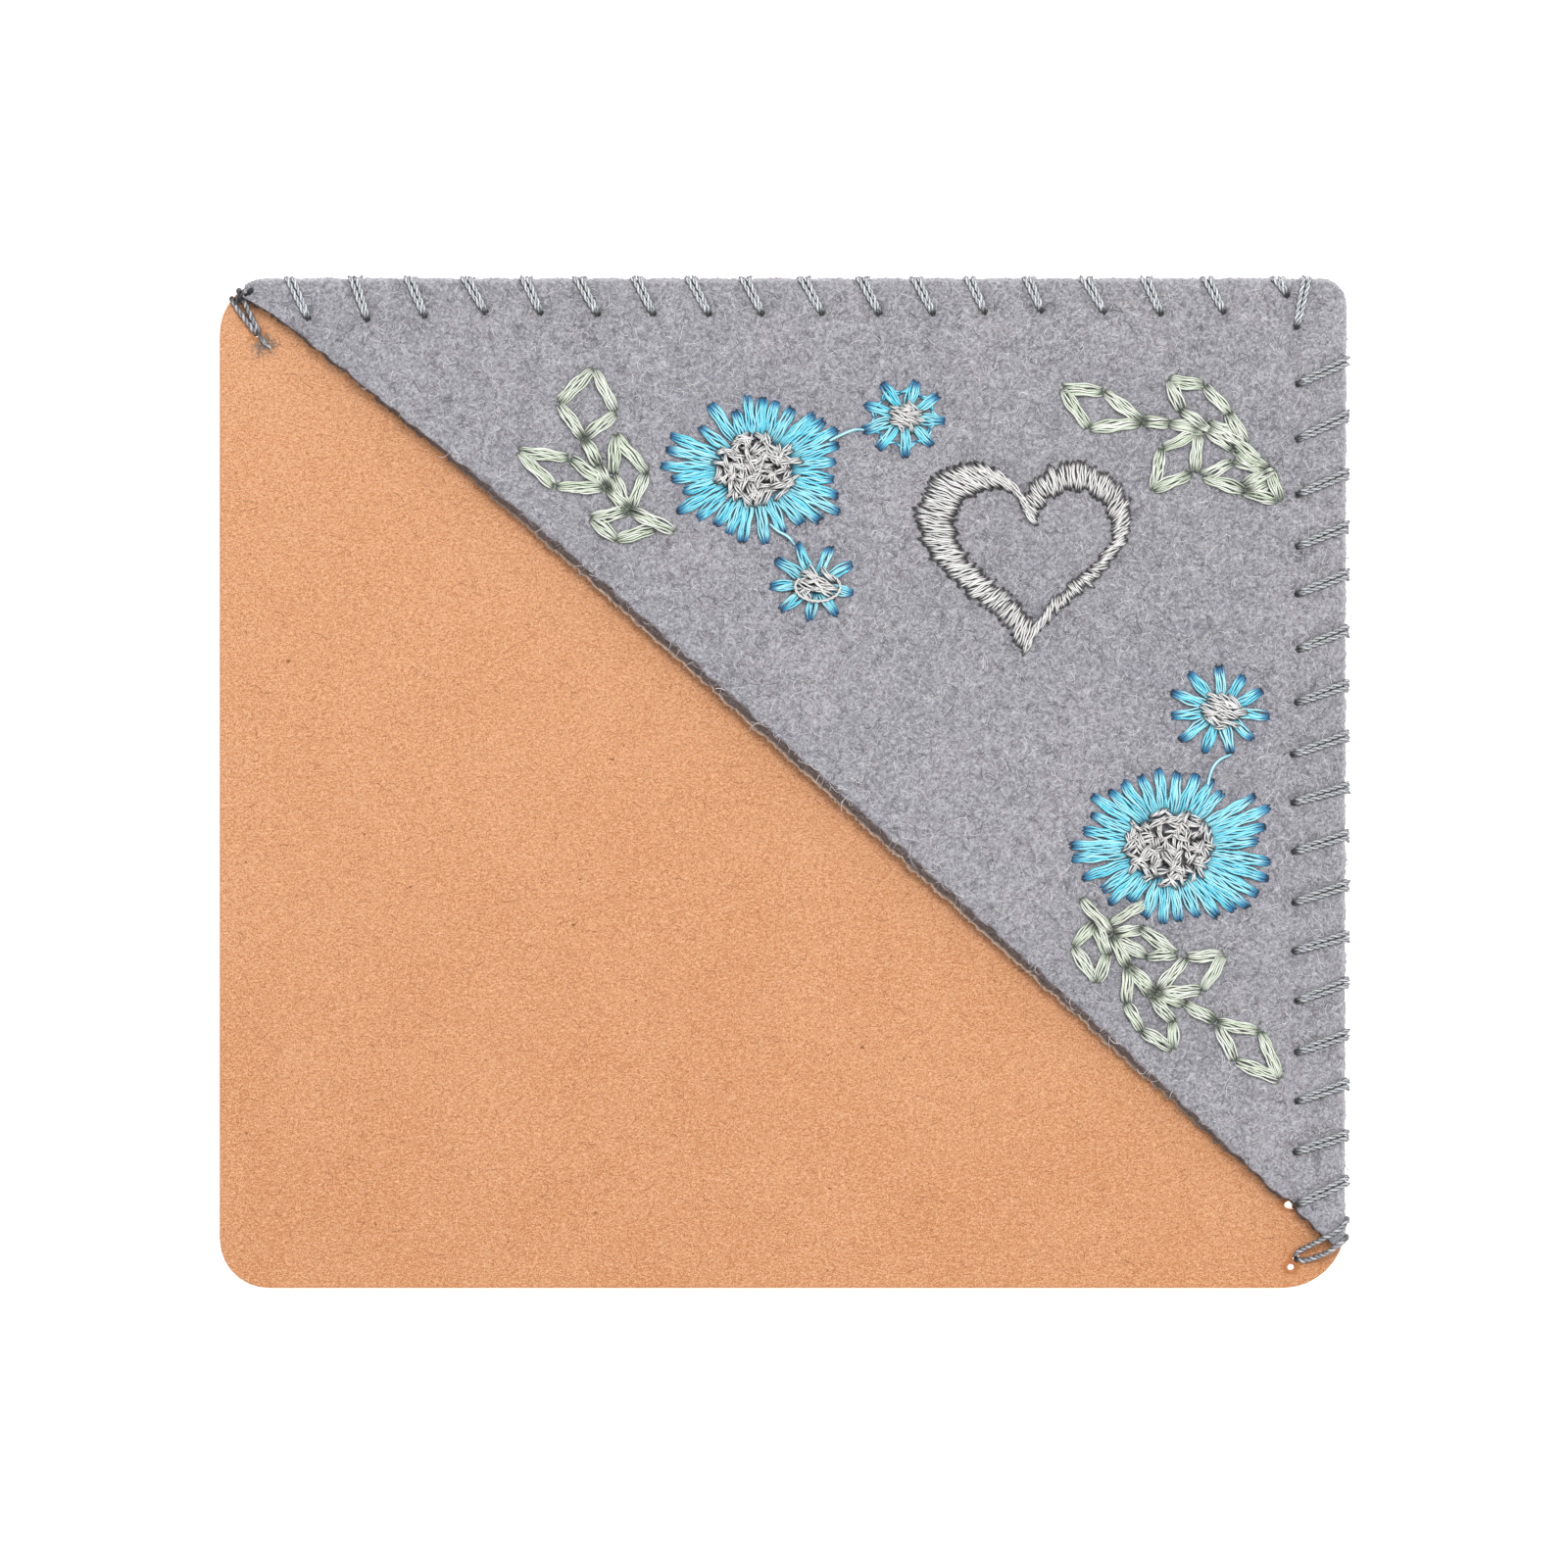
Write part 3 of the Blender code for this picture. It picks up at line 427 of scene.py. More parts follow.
# ---------------------------------------------------------------- where the stitches are
# A flower's petals run from its tips to the pad of its centre, which has two half sizes.
FLOWERS = {
    "upper_flower": {
        "centre": (-1.9, 22.3), "pad": (3.1, 2.6),
        "tips": [(3.85, 22.85), (4.0, 24.05), (4.0, 25.15), (3.0, 25.75), (2.25, 26.3), (0.7, 26.6),
                 (-0.4, 27.2), (-1.4, 27.4), (-2.5, 27.6), (-3.45, 26.4), (-5.2, 27.0), (-5.9, 25.3),
                 (-8.1, 24.75), (-8.3, 23.75), (-8.8, 22.55), (-7.9, 21.6), (-7.1, 20.7), (-7.5, 19.2),
                 (-6.1, 18.7), (-4.7, 18.3), (-3.8, 17.65), (-2.9, 17.05), (-1.2, 16.9), (0.05, 17.7),
                 (1.4, 18.4), (2.7, 18.6), (4.15, 19.1), (4.0, 20.4), (3.7, 21.6)]},
    "right_flower": {
        "centre": (27.4, -4.5), "pad": (3.3, 2.85),
        "tips": [(33.9, -4.05), (34.3, -3.05), (34.75, -1.65), (33.6, -0.8), (31.25, -0.55),
                 (30.55, 0.3), (29.4, 0.8), (28.0, 0.85), (26.65, 1.15), (25.4, 0.6), (24.1, 0.2),
                 (23.2, -0.5), (21.8, -0.75), (21.9, -2.2), (21.2, -3.3), (20.35, -4.35), (20.4, -5.4),
                 (21.25, -6.75), (22.6, -7.55), (23.15, -8.55), (24.6, -8.35), (25.7, -9.5),
                 (26.95, -10.0), (28.1, -9.8), (29.4, -9.5), (30.9, -9.45), (32.1, -9.1), (33.1, -8.8),
                 (33.85, -7.9), (34.5, -6.8), (34.75, -5.6)]},
    "top_blossom": {
        "centre": (8.7, 26.0), "pad": (0.95, 0.9),
        "tips": [(11.55, 25.7), (11.05, 27.5), (9.45, 28.55), (7.1, 28.4), (5.8, 26.85), (5.7, 25.05),
                 (6.8, 23.7), (8.75, 23.15), (10.65, 24.0)]},
    "middle_blossom": {
        "centre": (2.3, 14.15), "pad": (1.4, 0.95),
        "tips": [(4.95, 15.55), (3.4, 16.8), (1.0, 17.05), (-0.5, 15.9), (-0.95, 13.95), (-0.15, 12.3),
                 (1.9, 11.6), (3.85, 12.0), (5.05, 13.5)]},
    "side_blossom": {
        "centre": (31.1, 5.15), "pad": (1.3, 1.2),
        "tips": [(34.6, 4.75), (34.05, 6.55), (32.7, 7.7), (30.95, 8.35), (28.85, 7.9), (27.6, 6.5),
                 (27.5, 4.75), (28.2, 3.1), (29.9, 2.15), (31.8, 2.1), (33.4, 3.15)]},
}

# A sprig is a few runs of stitches, each from one point to the next.
SPRIGS = {
    "left_sprig": [
        [(-14.1, 24.5), (-15.9, 27.0), (-13.4, 29.5), (-11.8, 26.35), (-14.1, 24.5)],
        [(-14.1, 24.5), (-13.0, 22.6), (-12.4, 21.0), (-10.9, 19.4), (-7.6, 17.8)],
        [(-12.4, 21.0), (-15.1, 23.1), (-18.8, 23.6), (-16.1, 21.0), (-12.6, 21.0)],
        [(-10.9, 19.4), (-12.0, 21.9), (-11.85, 24.8), (-9.65, 22.0), (-10.8, 19.4)],
        [(-10.9, 19.4), (-13.6, 18.8), (-11.8, 17.3), (-9.1, 18.1)],
    ],
    "corner_sprig": [
        [(25.5, 25.65), (22.75, 27.85), (19.8, 28.1), (21.7, 25.15), (25.5, 25.65)],
        [(25.5, 25.65), (27.4, 25.6), (29.95, 25.1), (31.95, 23.75), (34.55, 22.3), (35.3, 20.0)],
        [(29.95, 25.3), (28.35, 26.5), (27.4, 28.65), (29.95, 28.2), (31.7, 26.25), (32.9, 24.1)],
        [(30.3, 25.5), (32.2, 24.7)],
        [(29.5, 24.95), (26.9, 23.8), (26.3, 20.8), (28.95, 22.05)],
        [(29.5, 24.95), (29.2, 22.0)],
        [(34.4, 22.3), (31.95, 22.8), (29.75, 21.8), (32.75, 20.7), (35.2, 20.1)],
        [(32.7, 21.2), (34.5, 22.1)],
        [(33.0, 20.7), (34.5, 21.3)],
    ],
    "lower_sprig": [
        [(21.1, -8.15), (23.4, -10.7), (24.5, -13.0), (26.5, -14.8), (28.5, -15.6), (30.7, -16.9)],
        [(24.8, -13.2), (26.1, -15.1)],
        [(22.1, -9.9), (20.65, -11.5), (22.25, -14.1), (23.1, -12.1), (22.2, -10.1)],
        [(23.4, -10.7), (25.4, -10.3), (27.95, -12.1), (25.85, -12.3), (23.5, -10.9)],
        [(24.5, -13.0), (24.4, -15.6), (25.5, -17.5), (27.65, -18.85), (27.7, -16.85), (26.1, -15.1)],
        [(26.6, -14.7), (28.6, -12.35), (31.3, -12.1), (29.75, -14.7), (26.6, -14.8)],
        [(30.7, -16.9), (33.85, -17.55), (35.3, -21.0), (32.1, -19.65), (30.8, -17.0)],
    ],
}

# Further stitches that lie over a sprig's own.
OVERLAPS = {
    "corner_sprig": [((31.5, 26.2), (32.6, 24.0)), ((31.0, 25.2), (32.8, 23.9)),
                     ((32.2, 24.2), (33.9, 22.9)), ((28.3, 26.4), (30.3, 25.1)),
                     ((33.0, 21.3), (34.9, 22.2)), ((32.2, 23.4), (33.7, 22.4))],
    "lower_sprig": [((23.2, -9.9), (25.9, -8.4))],
}

HEART_CENTRE = (17.1, 15.9)
HEART_SIZE = 15.0
HEART_OPENING = 0.76        # the inner outline's size as a share of the outer one's
HEART_SHIFT = 0.75          # makes the left strokes wide and the right ones thin

# The seam is sewn by hand: each stitch is its hole's x and y, then where it turns over the edge.
RIGHT_STITCHES = [
    (36.45, -29.9, -28.2), (36.3, -26.15, -24.95), (36.45, -22.55, -21.3), (36.4, -19.1, -17.8),
    (36.4, -15.45, -14.1), (36.2, -11.9, -10.8), (36.2, -8.45, -7.2), (36.2, -4.85, -3.65),
    (36.15, -1.35, -0.25), (36.1, 2.05, 3.4), (36.4, 5.75, 7.0), (36.5, 9.5, 10.9),
    (36.45, 13.45, 14.85), (36.45, 16.8, 18.25), (36.5, 20.5, 22.0), (36.45, 24.4, 26.1),
    (36.5, 28.35, 29.95),
]
TOP_STITCHES = [
    (36.45, 32.35, 37.2), (35.85, 34.6, 35.05), (31.35, 33.4, 30.1), (26.85, 33.3, 25.75),
    (22.9, 33.4, 21.45), (18.4, 33.5, 17.4), (14.4, 33.4, 13.25), (10.7, 33.3, 9.45),
    (6.9, 33.3, 5.6), (2.85, 33.3, 1.45), (-1.4, 33.3, -2.7), (-5.2, 33.25, -6.55),
    (-9.15, 33.3, -10.4), (-13.1, 33.25, -14.5), (-17.15, 33.35, -18.3), (-21.05, 33.4, -22.45),
    (-25.35, 33.1, -26.5), (-29.45, 32.9, -30.45), (-33.65, 32.95, -34.95),
]


def right_stitches():
    """(hole, edge) of the right seam, from the bottom to the top."""
    return [((x, y), (RIGHT, turn)) for x, y, turn in RIGHT_STITCHES]


def top_stitches():
    """(hole, edge) of the top seam, from the corner to the left."""
    return [((x, y), (turn, TOP)) for x, y, turn in TOP_STITCHES]


START_TIE_HOLE = (36.5, -33.7)
END_TIE_HOLE = (-37.3, 31.9)
SPARE_HOLE = (36.1, -34.35)
CORNER_PIT = (35.65, 33.3)      # a needle prick in the felt without a stitch
LIP_HOLE = (35.95, -29.98)      # the part of the first stitch's hole that shows past the felt

SEAM_HOLES = np.array([hole for hole, edge in top_stitches() + right_stitches()])
SEAM_TURNS = np.array([edge for hole, edge in top_stitches() + right_stitches()])
EMBROIDERY_ENDS = np.array([tip for flower in FLOWERS.values() for tip in flower["tips"]]
                           + [point for runs in SPRIGS.values() for run in runs for point in run])


def felt_surface(points):
    """Height of the felt's upper face over drawing points, pressed in by every stitch."""
    points = np.asarray(points, dtype=float)
    x, y = points[..., 0], points[..., 1]
    flat = points.reshape(-1, 2)
    height = FELT_HIGH + pocket_rise(x, y)
    height = height + 0.05 * np.sin(0.9 * x + 0.7 * np.sin(0.5 * y)) * np.sin(0.8 * y + 0.4)
    height = height + 0.03 * np.sin(2.3 * x + 1.1 * y) * np.sin(1.9 * y - 1.3 * x)
    dent = np.zeros(len(flat))
    near = (flat[:, 0] > RIGHT_HOLE_LINE - 2) | (flat[:, 1] > TOP_HOLE_LINE - 2)
    if near.any():
        dent[near] = 0.16 * np.exp(-(distance_to(flat[near], SEAM_HOLES, SEAM_TURNS) / 0.55) ** 2)
        for hole in SEAM_HOLES:
            dent[near] += 0.35 * np.exp(-((flat[near] - hole) ** 2).sum(axis=1) / 0.45 ** 2)
    for end in [*EMBROIDERY_ENDS, CORNER_PIT]:
        close = np.abs(flat - end).max(axis=1) < 1.2
        dent[close] += 0.22 * np.exp(-((flat[close] - end) ** 2).sum(axis=1) / 0.4 ** 2)
    return height - np.minimum(dent, 0.5).reshape(x.shape)


def closed_edges(first, count):
    """The edges of a closed loop of points, as pairs of indices."""
    return [(first + number, first + (number + 1) % count) for number in range(count)]


def triangulate(points, edges, kind):
    """Places, triangles, and where each given point is among the places. Kind 1 keeps only the inside."""
    points = [tuple(point) for point in points]
    found, _, triangles, origins, _, _ = delaunay_2d_cdt(points, edges, [], kind, 1e-6)
    lookup = {source: index for index, sources in enumerate(origins) for source in sources}
    return np.array([tuple(point) for point in found]), triangles, lookup


def two_faces(triangles, count):
    """A sheet's upper triangles, and the same ones turned over on its lower face."""
    upper = [tuple(face) for face in triangles]
    return upper + [tuple(count + index for index in face[::-1]) for face in upper]


def point_grid(low, high, spacing):
    """Rows of evenly spaced points between two corners."""
    across = np.arange(low[0], high[0], spacing)
    up = np.arange(low[1], high[1], spacing)
    return np.stack(np.meshgrid(across, up), axis=-1)


def sheet_mesh(outline, rings, spacing):
    """Triangulate the inside of an outline: places, triangles, the outline's indices and edge distances."""
    starts, ends = outline, np.roll(outline, -1, axis=0)
    edge = ends - starts
    normals = np.stack([-edge[:, 1], edge[:, 0]], axis=1)
    normals /= np.linalg.norm(normals, axis=1, keepdims=True)
    smooth_normals = normals + np.roll(normals, 1, axis=0)
    smooth_normals /= np.linalg.norm(smooth_normals, axis=1, keepdims=True)
    places = []
    for ring in rings:
        candidates = outline + smooth_normals * ring
        keep = inside(candidates, outline) & (distance_to(candidates, starts, ends) > ring * 0.9)
        places.append(candidates[keep])
    grid = point_grid(outline.min(axis=0), outline.max(axis=0), spacing)
    grid[::2, :, 0] += spacing / 2
    grid = grid.reshape(-1, 2)
    grid = grid[inside(grid, outline)]
    grid = grid[distance_to(grid, starts, ends) > rings[-1] + spacing * 0.6]
    count = len(outline)
    found, triangles, lookup = triangulate(np.vstack([outline, *places, grid]), closed_edges(0, count), 1)
    boundary = np.array([lookup[number] for number in range(count)])
    return found, triangles, boundary, distance_to(found, starts, ends)


# ---------------------------------------------------------------- felt
def felt_outline(spacing):
    """The felt's outline, anticlockwise: the mouth, then the right and top edges."""
    mouth = mouth_points(np.linspace(0, 0.994, 60))      # the tip under the start tie is snipped off
    corner = (RIGHT - FELT_CORNER, TOP - FELT_CORNER)
    left_corner = (-RIGHT + CARD_CORNER, TOP - CARD_CORNER)
    points = np.vstack([mouth, [(RIGHT - 0.1, MOUTH_END[1] + 0.8)], arc(corner, FELT_CORNER, 0, 90, 10),
                        arc(left_corner, CARD_CORNER, 90, 118, 4)])
    return even_outline(points, spacing)


def mouth_pull(points):
    """How far the upper face draws back from the mouth, and how far each point is from the mouth's edge."""
    share = np.clip((points - MOUTH_START) @ MOUTH_RUN / (MOUTH_RUN @ MOUTH_RUN), 0, 1)
    depth = np.abs((points - MOUTH_START) @ MOUTH_INWARD - mouth_hollow(share))
    widest = 0.17 + 0.6 * np.exp(-((share - 0.53) / 0.36) ** 6)
    ends = np.clip(np.minimum(share, 1 - share) / 0.03, 0, 1)
    ragged = 0.07 * np.sin(279 * share) * np.sin(119 * share + 1) + 0.05 * np.sin(301 * share)
    return (widest + ragged) * ends * np.exp(-depth / 0.9), depth


def felt_wall(upper, lower, outward, at_mouth, open_part):
    """Rows of rough points down the felt's edge, each with its rim value (a painted highlight) and contact
    value (a painted contact shadow).
    """
    rows = []
    for row in range(1, WALL_ROWS + 1):
        share = row / (WALL_ROWS + 1)
        lowest = row == WALL_ROWS
        middle = (1 - share) * upper + share * lower
        rough = RANDOM.normal(0, 0.035, (len(upper), 2))
        middle[:, :2] += rough + outward * (0.08 * np.sin(math.pi * share) * (1 - at_mouth))[:, None]
        if lowest:
            # A thin ledge of fluff stands out at the foot of the cut.
            middle[:, :2] -= MOUTH_INWARD * (0.2 * at_mouth * RANDOM.random(len(upper)))[:, None]
            middle[:, 2] = lower[:, 2] + 0.12
        # Only the foot of the cut gets the painted highlight (rim), in the open part of the mouth.
        rim = lowest * at_mouth * open_part * RANDOM.uniform(0.6, 1.0, len(upper))
        # The painted contact shadow (contact) grows down the cut towards the mouth's ends, where the felt
        # meets the card.
        contact = at_mouth * (1 - open_part) * min(1.0, share * 1.4)
        rows.append((middle, rim, contact))
    return rows


def make_felt():
    """The felt pocket: one thick sheet with a drawn-back, ragged mouth edge and soft sewn edges."""
    outline = felt_outline(0.2)
    places, triangles, boundary, distances = sheet_mesh(outline, (0.14, 0.34, 0.65), 0.45)
    count = len(places)
    pull, depth = mouth_pull(places)
    at_mouth = np.exp(-(depth / 0.6) ** 2)
    sewn = (1 - at_mouth) * np.clip(1 - distances / 0.55, 0, 1)
    near_stitch = np.exp(-(distance_to(places, SEAM_HOLES, SEAM_TURNS) / 0.9) ** 2)
    # Between the stitches the sewn edges swell out a little; under them they are drawn in.
    outward = np.where((RIGHT - places[:, :1]) < (TOP - places[:, 1:]), [[1.0, 0.0]], [[0.0, 1.0]])
    swell = (0.02 - 0.1 * near_stitch) * sewn
    upper = places + MOUTH_INWARD * pull[:, None] + outward * (swell - 0.12 * sewn)[:, None]
    fuzz = RANDOM.normal(0, 0.018, count)
    lip = at_mouth * np.clip(1 - depth / 0.35, 0, 1)
    top = felt_surface(upper) + fuzz - 0.3 * sewn ** 3 - 0.12 * lip
    low = CARD_THICKNESS + 0.05 + pocket_rise(places[:, 0], places[:, 1])
    share = (places - MOUTH_START) @ MOUTH_RUN / (MOUTH_RUN @ MOUTH_RUN)
    open_part = np.exp(-((share - 0.54) / 0.35) ** 8)
    notch = np.interp(places @ MOUTH_RUN / 100, np.arange(-80, 80, 0.33), RANDOM.random(485)) ** 2
    notch = (0.2 * notch + RANDOM.uniform(0, 0.05, count)) * np.exp(-(depth / 0.12) ** 2)
    # The felt's lip is drawn back at the first stitch, so that part of its hole in the card shows.
    drawn = 0.42 * np.exp(-(((places - LIP_HOLE) ** 2).sum(axis=1) / 0.6 ** 2) ** 2)
    lower = places + outward * swell[:, None] + MOUTH_INWARD * (notch + drawn)[:, None]
    upper += MOUTH_INWARD * (0.5 * drawn)[:, None]
    vertices = [np.column_stack([upper, top]), np.column_stack([lower, low])]
    faces = two_faces(triangles, count)

    # Painted light on the mouth's cut: wall marks its painted shade, rim a painted highlight at its foot,
    # contact a painted contact shadow near the mouth's ends.
    wall, rim, contact = np.zeros((3, 2 * count))
    wall[count + boundary] = at_mouth[boundary]
    contact[count + boundary] = at_mouth[boundary] * (1 - open_part[boundary])
    attributes = {"wall": [wall], "rim": [rim], "contact": [contact]}
    edge_rows = [boundary]
    next_index = 2 * count
    rows = felt_wall(vertices[0][boundary], vertices[1][boundary], outward[boundary], at_mouth[boundary],
                     open_part[boundary])
    for middle, row_rim, row_contact in rows:
        edge_rows.append(next_index + np.arange(len(boundary)))
        next_index += len(boundary)
        vertices.append(middle)
        for key, values in (("wall", at_mouth[boundary]), ("rim", row_rim), ("contact", row_contact)):
            attributes[key].append(values)
    edge_rows.append(count + boundary)
    for upper_row, lower_row in zip(edge_rows, edge_rows[1:]):
        corners = (np.roll(upper_row, -1), upper_row, lower_row, np.roll(lower_row, -1))
        faces += np.stack(corners, axis=1).tolist()
    attributes = {key: np.concatenate(values) for key, values in attributes.items()}
    felt = add_piece("felt_sheet", np.vstack(vertices), faces, felt_material(), attributes)
    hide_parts("felt_pocket")
    return outline


def curled_paths(places, headings, lengths, curl, wobble=0.0):
    """Flat paths of seven points that turn steadily from their first headings, and may wander a little."""
    count = 7
    turn = RANDOM.normal(0, curl, len(places))
    paths = np.zeros((len(places), count, 3))
    for number in range(count):
        paths[:, number, :2] = places
        places = places + directions(headings) * (lengths / (count - 1))[:, None]
        headings = headings + turn
        if wobble:
            headings = headings + RANDOM.normal(0, wobble, len(places))
    return paths


def bent_paths(places, headings, lengths, bend):
    """Flat paths of six points for short loose fibres that bend one way."""
    count = 6
    turned = headings[:, None] + RANDOM.normal(0, bend, len(places))[:, None] * np.linspace(0, 1, count)
    paths = np.zeros((len(places), count, 3))
    moves = directions(turned) * (lengths[:, None, None] / (count - 1))
    paths[..., :2] = places[:, None] + np.cumsum(moves, axis=1)
    return paths


def make_felt_fibres(outline):
    """The loose fibres of the felt's upper face, pale over dark."""
    low, high = outline.min(axis=0), outline.max(axis=0)
    starts, ends = outline[::6], np.roll(outline[::6], -1, axis=0)
    palettes = (("felt_fibres_low", 9000, srgb(70, 68, 75), srgb(158, 156, 163), 0.012),
                ("felt_fibres_middle", 9000, srgb(104, 102, 109), srgb(206, 204, 211), 0.022),
                ("felt_fibres_pale", 8000, srgb(184, 182, 189), srgb(255, 254, 255), 0.04))
    shade = RANDOM.random((220, 220))
    for name, number, first, second, lift in palettes:
        places = RANDOM.uniform(low, high, (number * 3, 2))
        places = places[inside(places, outline)]
        places = places[distance_to(places, starts, ends) > 0.7][:number]
        headings = RANDOM.uniform(0, 2 * math.pi, len(places))
        lengths = RANDOM.uniform(0.3, 1.3, len(places))
        lifts = lift * RANDOM.uniform(0.3, 1.6, len(places))
        paths = curled_paths(places, headings, lengths, 0.28, 0.224)
        wave = np.sin(np.linspace(0, math.pi, paths.shape[1]))
        paths[..., 2] = felt_surface(paths[..., :2]) - 0.01 + wave * lifts[:, None]
        radii = RANDOM.uniform(0.013, 0.03, len(places))[:, None]
        # Fibres that lie close together have about the same tone, which mottles the felt.
        cell = ((places + 45) / 0.42).astype(int)
        tones = 0.4 * shade[cell[:, 0], cell[:, 1]] + 0.6 * RANDOM.random(len(places))
        material = fibre_material(name, first, second)
        strand_piece(name, None, paths, radii, material, tones=tones, sides=3)


def make_mouth_fibres():
    """Fibres that hang over the mouth's cut."""
    number = 1500
    shares = RANDOM.uniform(0.01, 0.99, number)
    short = 1 - 0.5 * np.exp(-((shares - 0.57) / 0.3) ** 6)
    starts = mouth_points(shares) + MOUTH_INWARD * RANDOM.uniform(0.5, 1.0, number)[:, None]
    lean = RANDOM.normal(0, 0.9, number)[:, None]
    out = -MOUTH_INWARD * np.cos(lean) + MOUTH_ALONG * np.sin(lean)
    lengths = RANDOM.uniform(0.1, 0.42, number) * short
    steps = np.linspace(0, 1, 5)
    paths = np.zeros((number, 5, 3))
    paths[..., :2] = starts[:, None] + out[:, None] * (lengths[:, None] * steps)[..., None]
    droop = RANDOM.uniform(0.0, 0.5, number)
    paths[..., 2] = (felt_surface(starts) - 0.05)[:, None] - droop[:, None] * steps ** 2
    material = fibre_material("mouth_fibres", srgb(78, 70, 72), srgb(176, 172, 178))
    strand_piece("mouth_fibres", None, paths, 0.016, material, sides=3)


def make_edge_fibres():
    """Fibres that stray past the sewn edges; a few are long."""
    number = 420
    right = RANDOM.random(number) < 0.6
    on_right = np.stack([np.full(number, RIGHT), RANDOM.uniform(-31, 33, number)], axis=1)
    on_top = np.stack([RANDOM.uniform(-34, 37, number), np.full(number, TOP)], axis=1)
    places = np.where(right[:, None], on_right, on_top)
    headings = np.where(right, 0.0, math.pi / 2) + RANDOM.normal(0, 0.8, number)
    lengths = RANDOM.uniform(0.2, 0.7, number) * np.where(RANDOM.random(number) < 0.04, 2.2, 1.0)
    paths = bent_paths(places - 0.03 * directions(headings), headings, lengths, 0.9)
    above_card = RANDOM.uniform(0.3, 1.4, number)[:, None] + 0.1 * np.linspace(0, 1, paths.shape[1])
    paths[..., 2] = CARD_THICKNESS + above_card
    material = fibre_material("edge_fibres", srgb(150, 148, 156), srgb(206, 204, 210))
    strand_piece("edge_fibres", None, paths, 0.018, material, sides=3)


# ---------------------------------------------------------------- card
def card_outline(spacing):
    """The card's outline, anticlockwise. The tight thread presses the two sewn edges in a little.

    Its four corners are cut by hand and have different radii.
    """
    pressed = 0.15
    plain, by_tie, by_knot, sewn = CARD_CORNER, 4.5, 3.9, FELT_CORNER
    right, top = RIGHT - pressed, TOP - pressed
    points = np.vstack([
        arc((plain - RIGHT, plain - TOP), plain, 180, 270, 12),
        arc((RIGHT - by_tie, by_tie - TOP), by_tie, 270, 350, 12), [(right, 2 * by_tie - TOP)],
        arc((right - sewn, top - sewn), sewn, 0, 90, 12), [(2 * by_knot - RIGHT, top)],
        arc((by_knot - RIGHT, TOP - by_knot), by_knot, 100, 180, 12)])
    return even_outline(points, spacing)


def ring_points(centre, half_sizes, count):
    """Points round an ellipse."""
    return np.array(centre) + np.array(half_sizes) * directions(2 * math.pi * np.arange(count) / count)


def card_holes():
    """Each pierced hole's centre and half sizes."""
    holes = [(tuple(hole), (0.42, 0.42)) for hole in SEAM_HOLES if hole[1] > -29]
    holes += [((36.15, -29.93), (0.52, 0.3)), (START_TIE_HOLE, (0.26, 0.26)), (END_TIE_HOLE, (0.2, 0.2)),
              (SPARE_HOLE, (0.24, 0.22))]
    return holes


def in_any_hole(place, holes):
    """Whether a place is inside one of the holes."""
    return any(np.linalg.norm((place - np.array(centre)) / np.array(half_sizes)) < 0.98
               for centre, half_sizes in holes)


def card_mesh(outline, holes):
    """Triangulate the card round its holes: places, triangles, and the loops of its edge and holes."""
    sides = 14
    points = [outline]
    edges = closed_edges(0, len(outline))
    loops = [range(len(outline))]
    for centre, half_sizes in holes:
        first = sum(len(group) for group in points)
        points.append(ring_points(centre, half_sizes, sides))
        edges += closed_edges(first, sides)
        loops.append(range(first, first + sides))
    for centre, half_sizes in holes:
        for widening in (0.08, 0.16, 0.26, 0.4, 0.6):
            points.append(ring_points(centre, np.add(half_sizes, widening), sides))
    for offset in (0.08, 0.2):
        points.append(outline * (1 - offset / np.linalg.norm(outline, axis=1, keepdims=True)))
    grid = point_grid((-RIGHT, -TOP), (RIGHT, TOP), 2.0).reshape(-1, 2)
    grid = grid[inside(grid, outline)]
    grid = grid[distance_to(grid, outline, np.roll(outline, -1, axis=0)) > 0.8]
    centres = np.array([centre for centre, half_sizes in holes])
    grid = grid[np.linalg.norm(grid[:, None] - centres[None], axis=2).min(axis=1) > 1.1]
    found, triangles, lookup = triangulate(np.vstack([*points, grid]), edges, 0)
    triangles = [face for face in triangles if not in_any_hole(found[list(face)].mean(axis=0), holes)]
    return found, triangles, [[lookup[number] for number in loop] for loop in loops]


def make_card():
    """The kraft card: slightly soft edges, pierced holes with raised lips."""
    outline = card_outline(0.8)
    holes = card_holes()
    places, triangles, loops = card_mesh(outline, holes)
    count = len(places)
    lift = np.zeros(count)
    bruise = np.zeros(count)
    for centre, half_sizes in holes:
        reach = np.linalg.norm((places - np.array(centre)) / np.array(half_sizes), axis=1)
        distance = (reach - 1) * np.mean(half_sizes)
        lift += 0.14 * np.exp(-((distance - 0.14) / 0.13) ** 2)
        lift -= 0.05 * np.exp(-((distance - 0.42) / 0.2) ** 2)
        bruise = np.maximum(bruise, np.exp(-((distance - 0.18) / 0.22) ** 2))
    # The felt holds the lips under it down.
    lift[inside(places, felt_outline(1.0))] *= 0.1
    edge_distance = distance_to(places, outline, np.roll(outline, -1, axis=0))
    soft = 0.05 * np.clip(1 - edge_distance / 0.12, 0, 1)
    top = np.column_stack([places, CARD_THICKNESS + lift - soft])
    bottom = np.column_stack([places, soft])
    faces = two_faces(triangles, count)
    for loop in loops:
        for a, b in zip(loop, loop[1:] + loop[:1]):
            faces.append((b, a, count + a, count + b))
    edge = (edge_distance < 0.05).astype(float)
    card = add_piece("card_sheet", np.vstack([top, bottom]), faces, kraft_material(),
                     {"edge": np.tile(edge, 2), "bruise": np.tile(bruise, 2)}, smooth=False)
    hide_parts("kraft_card")


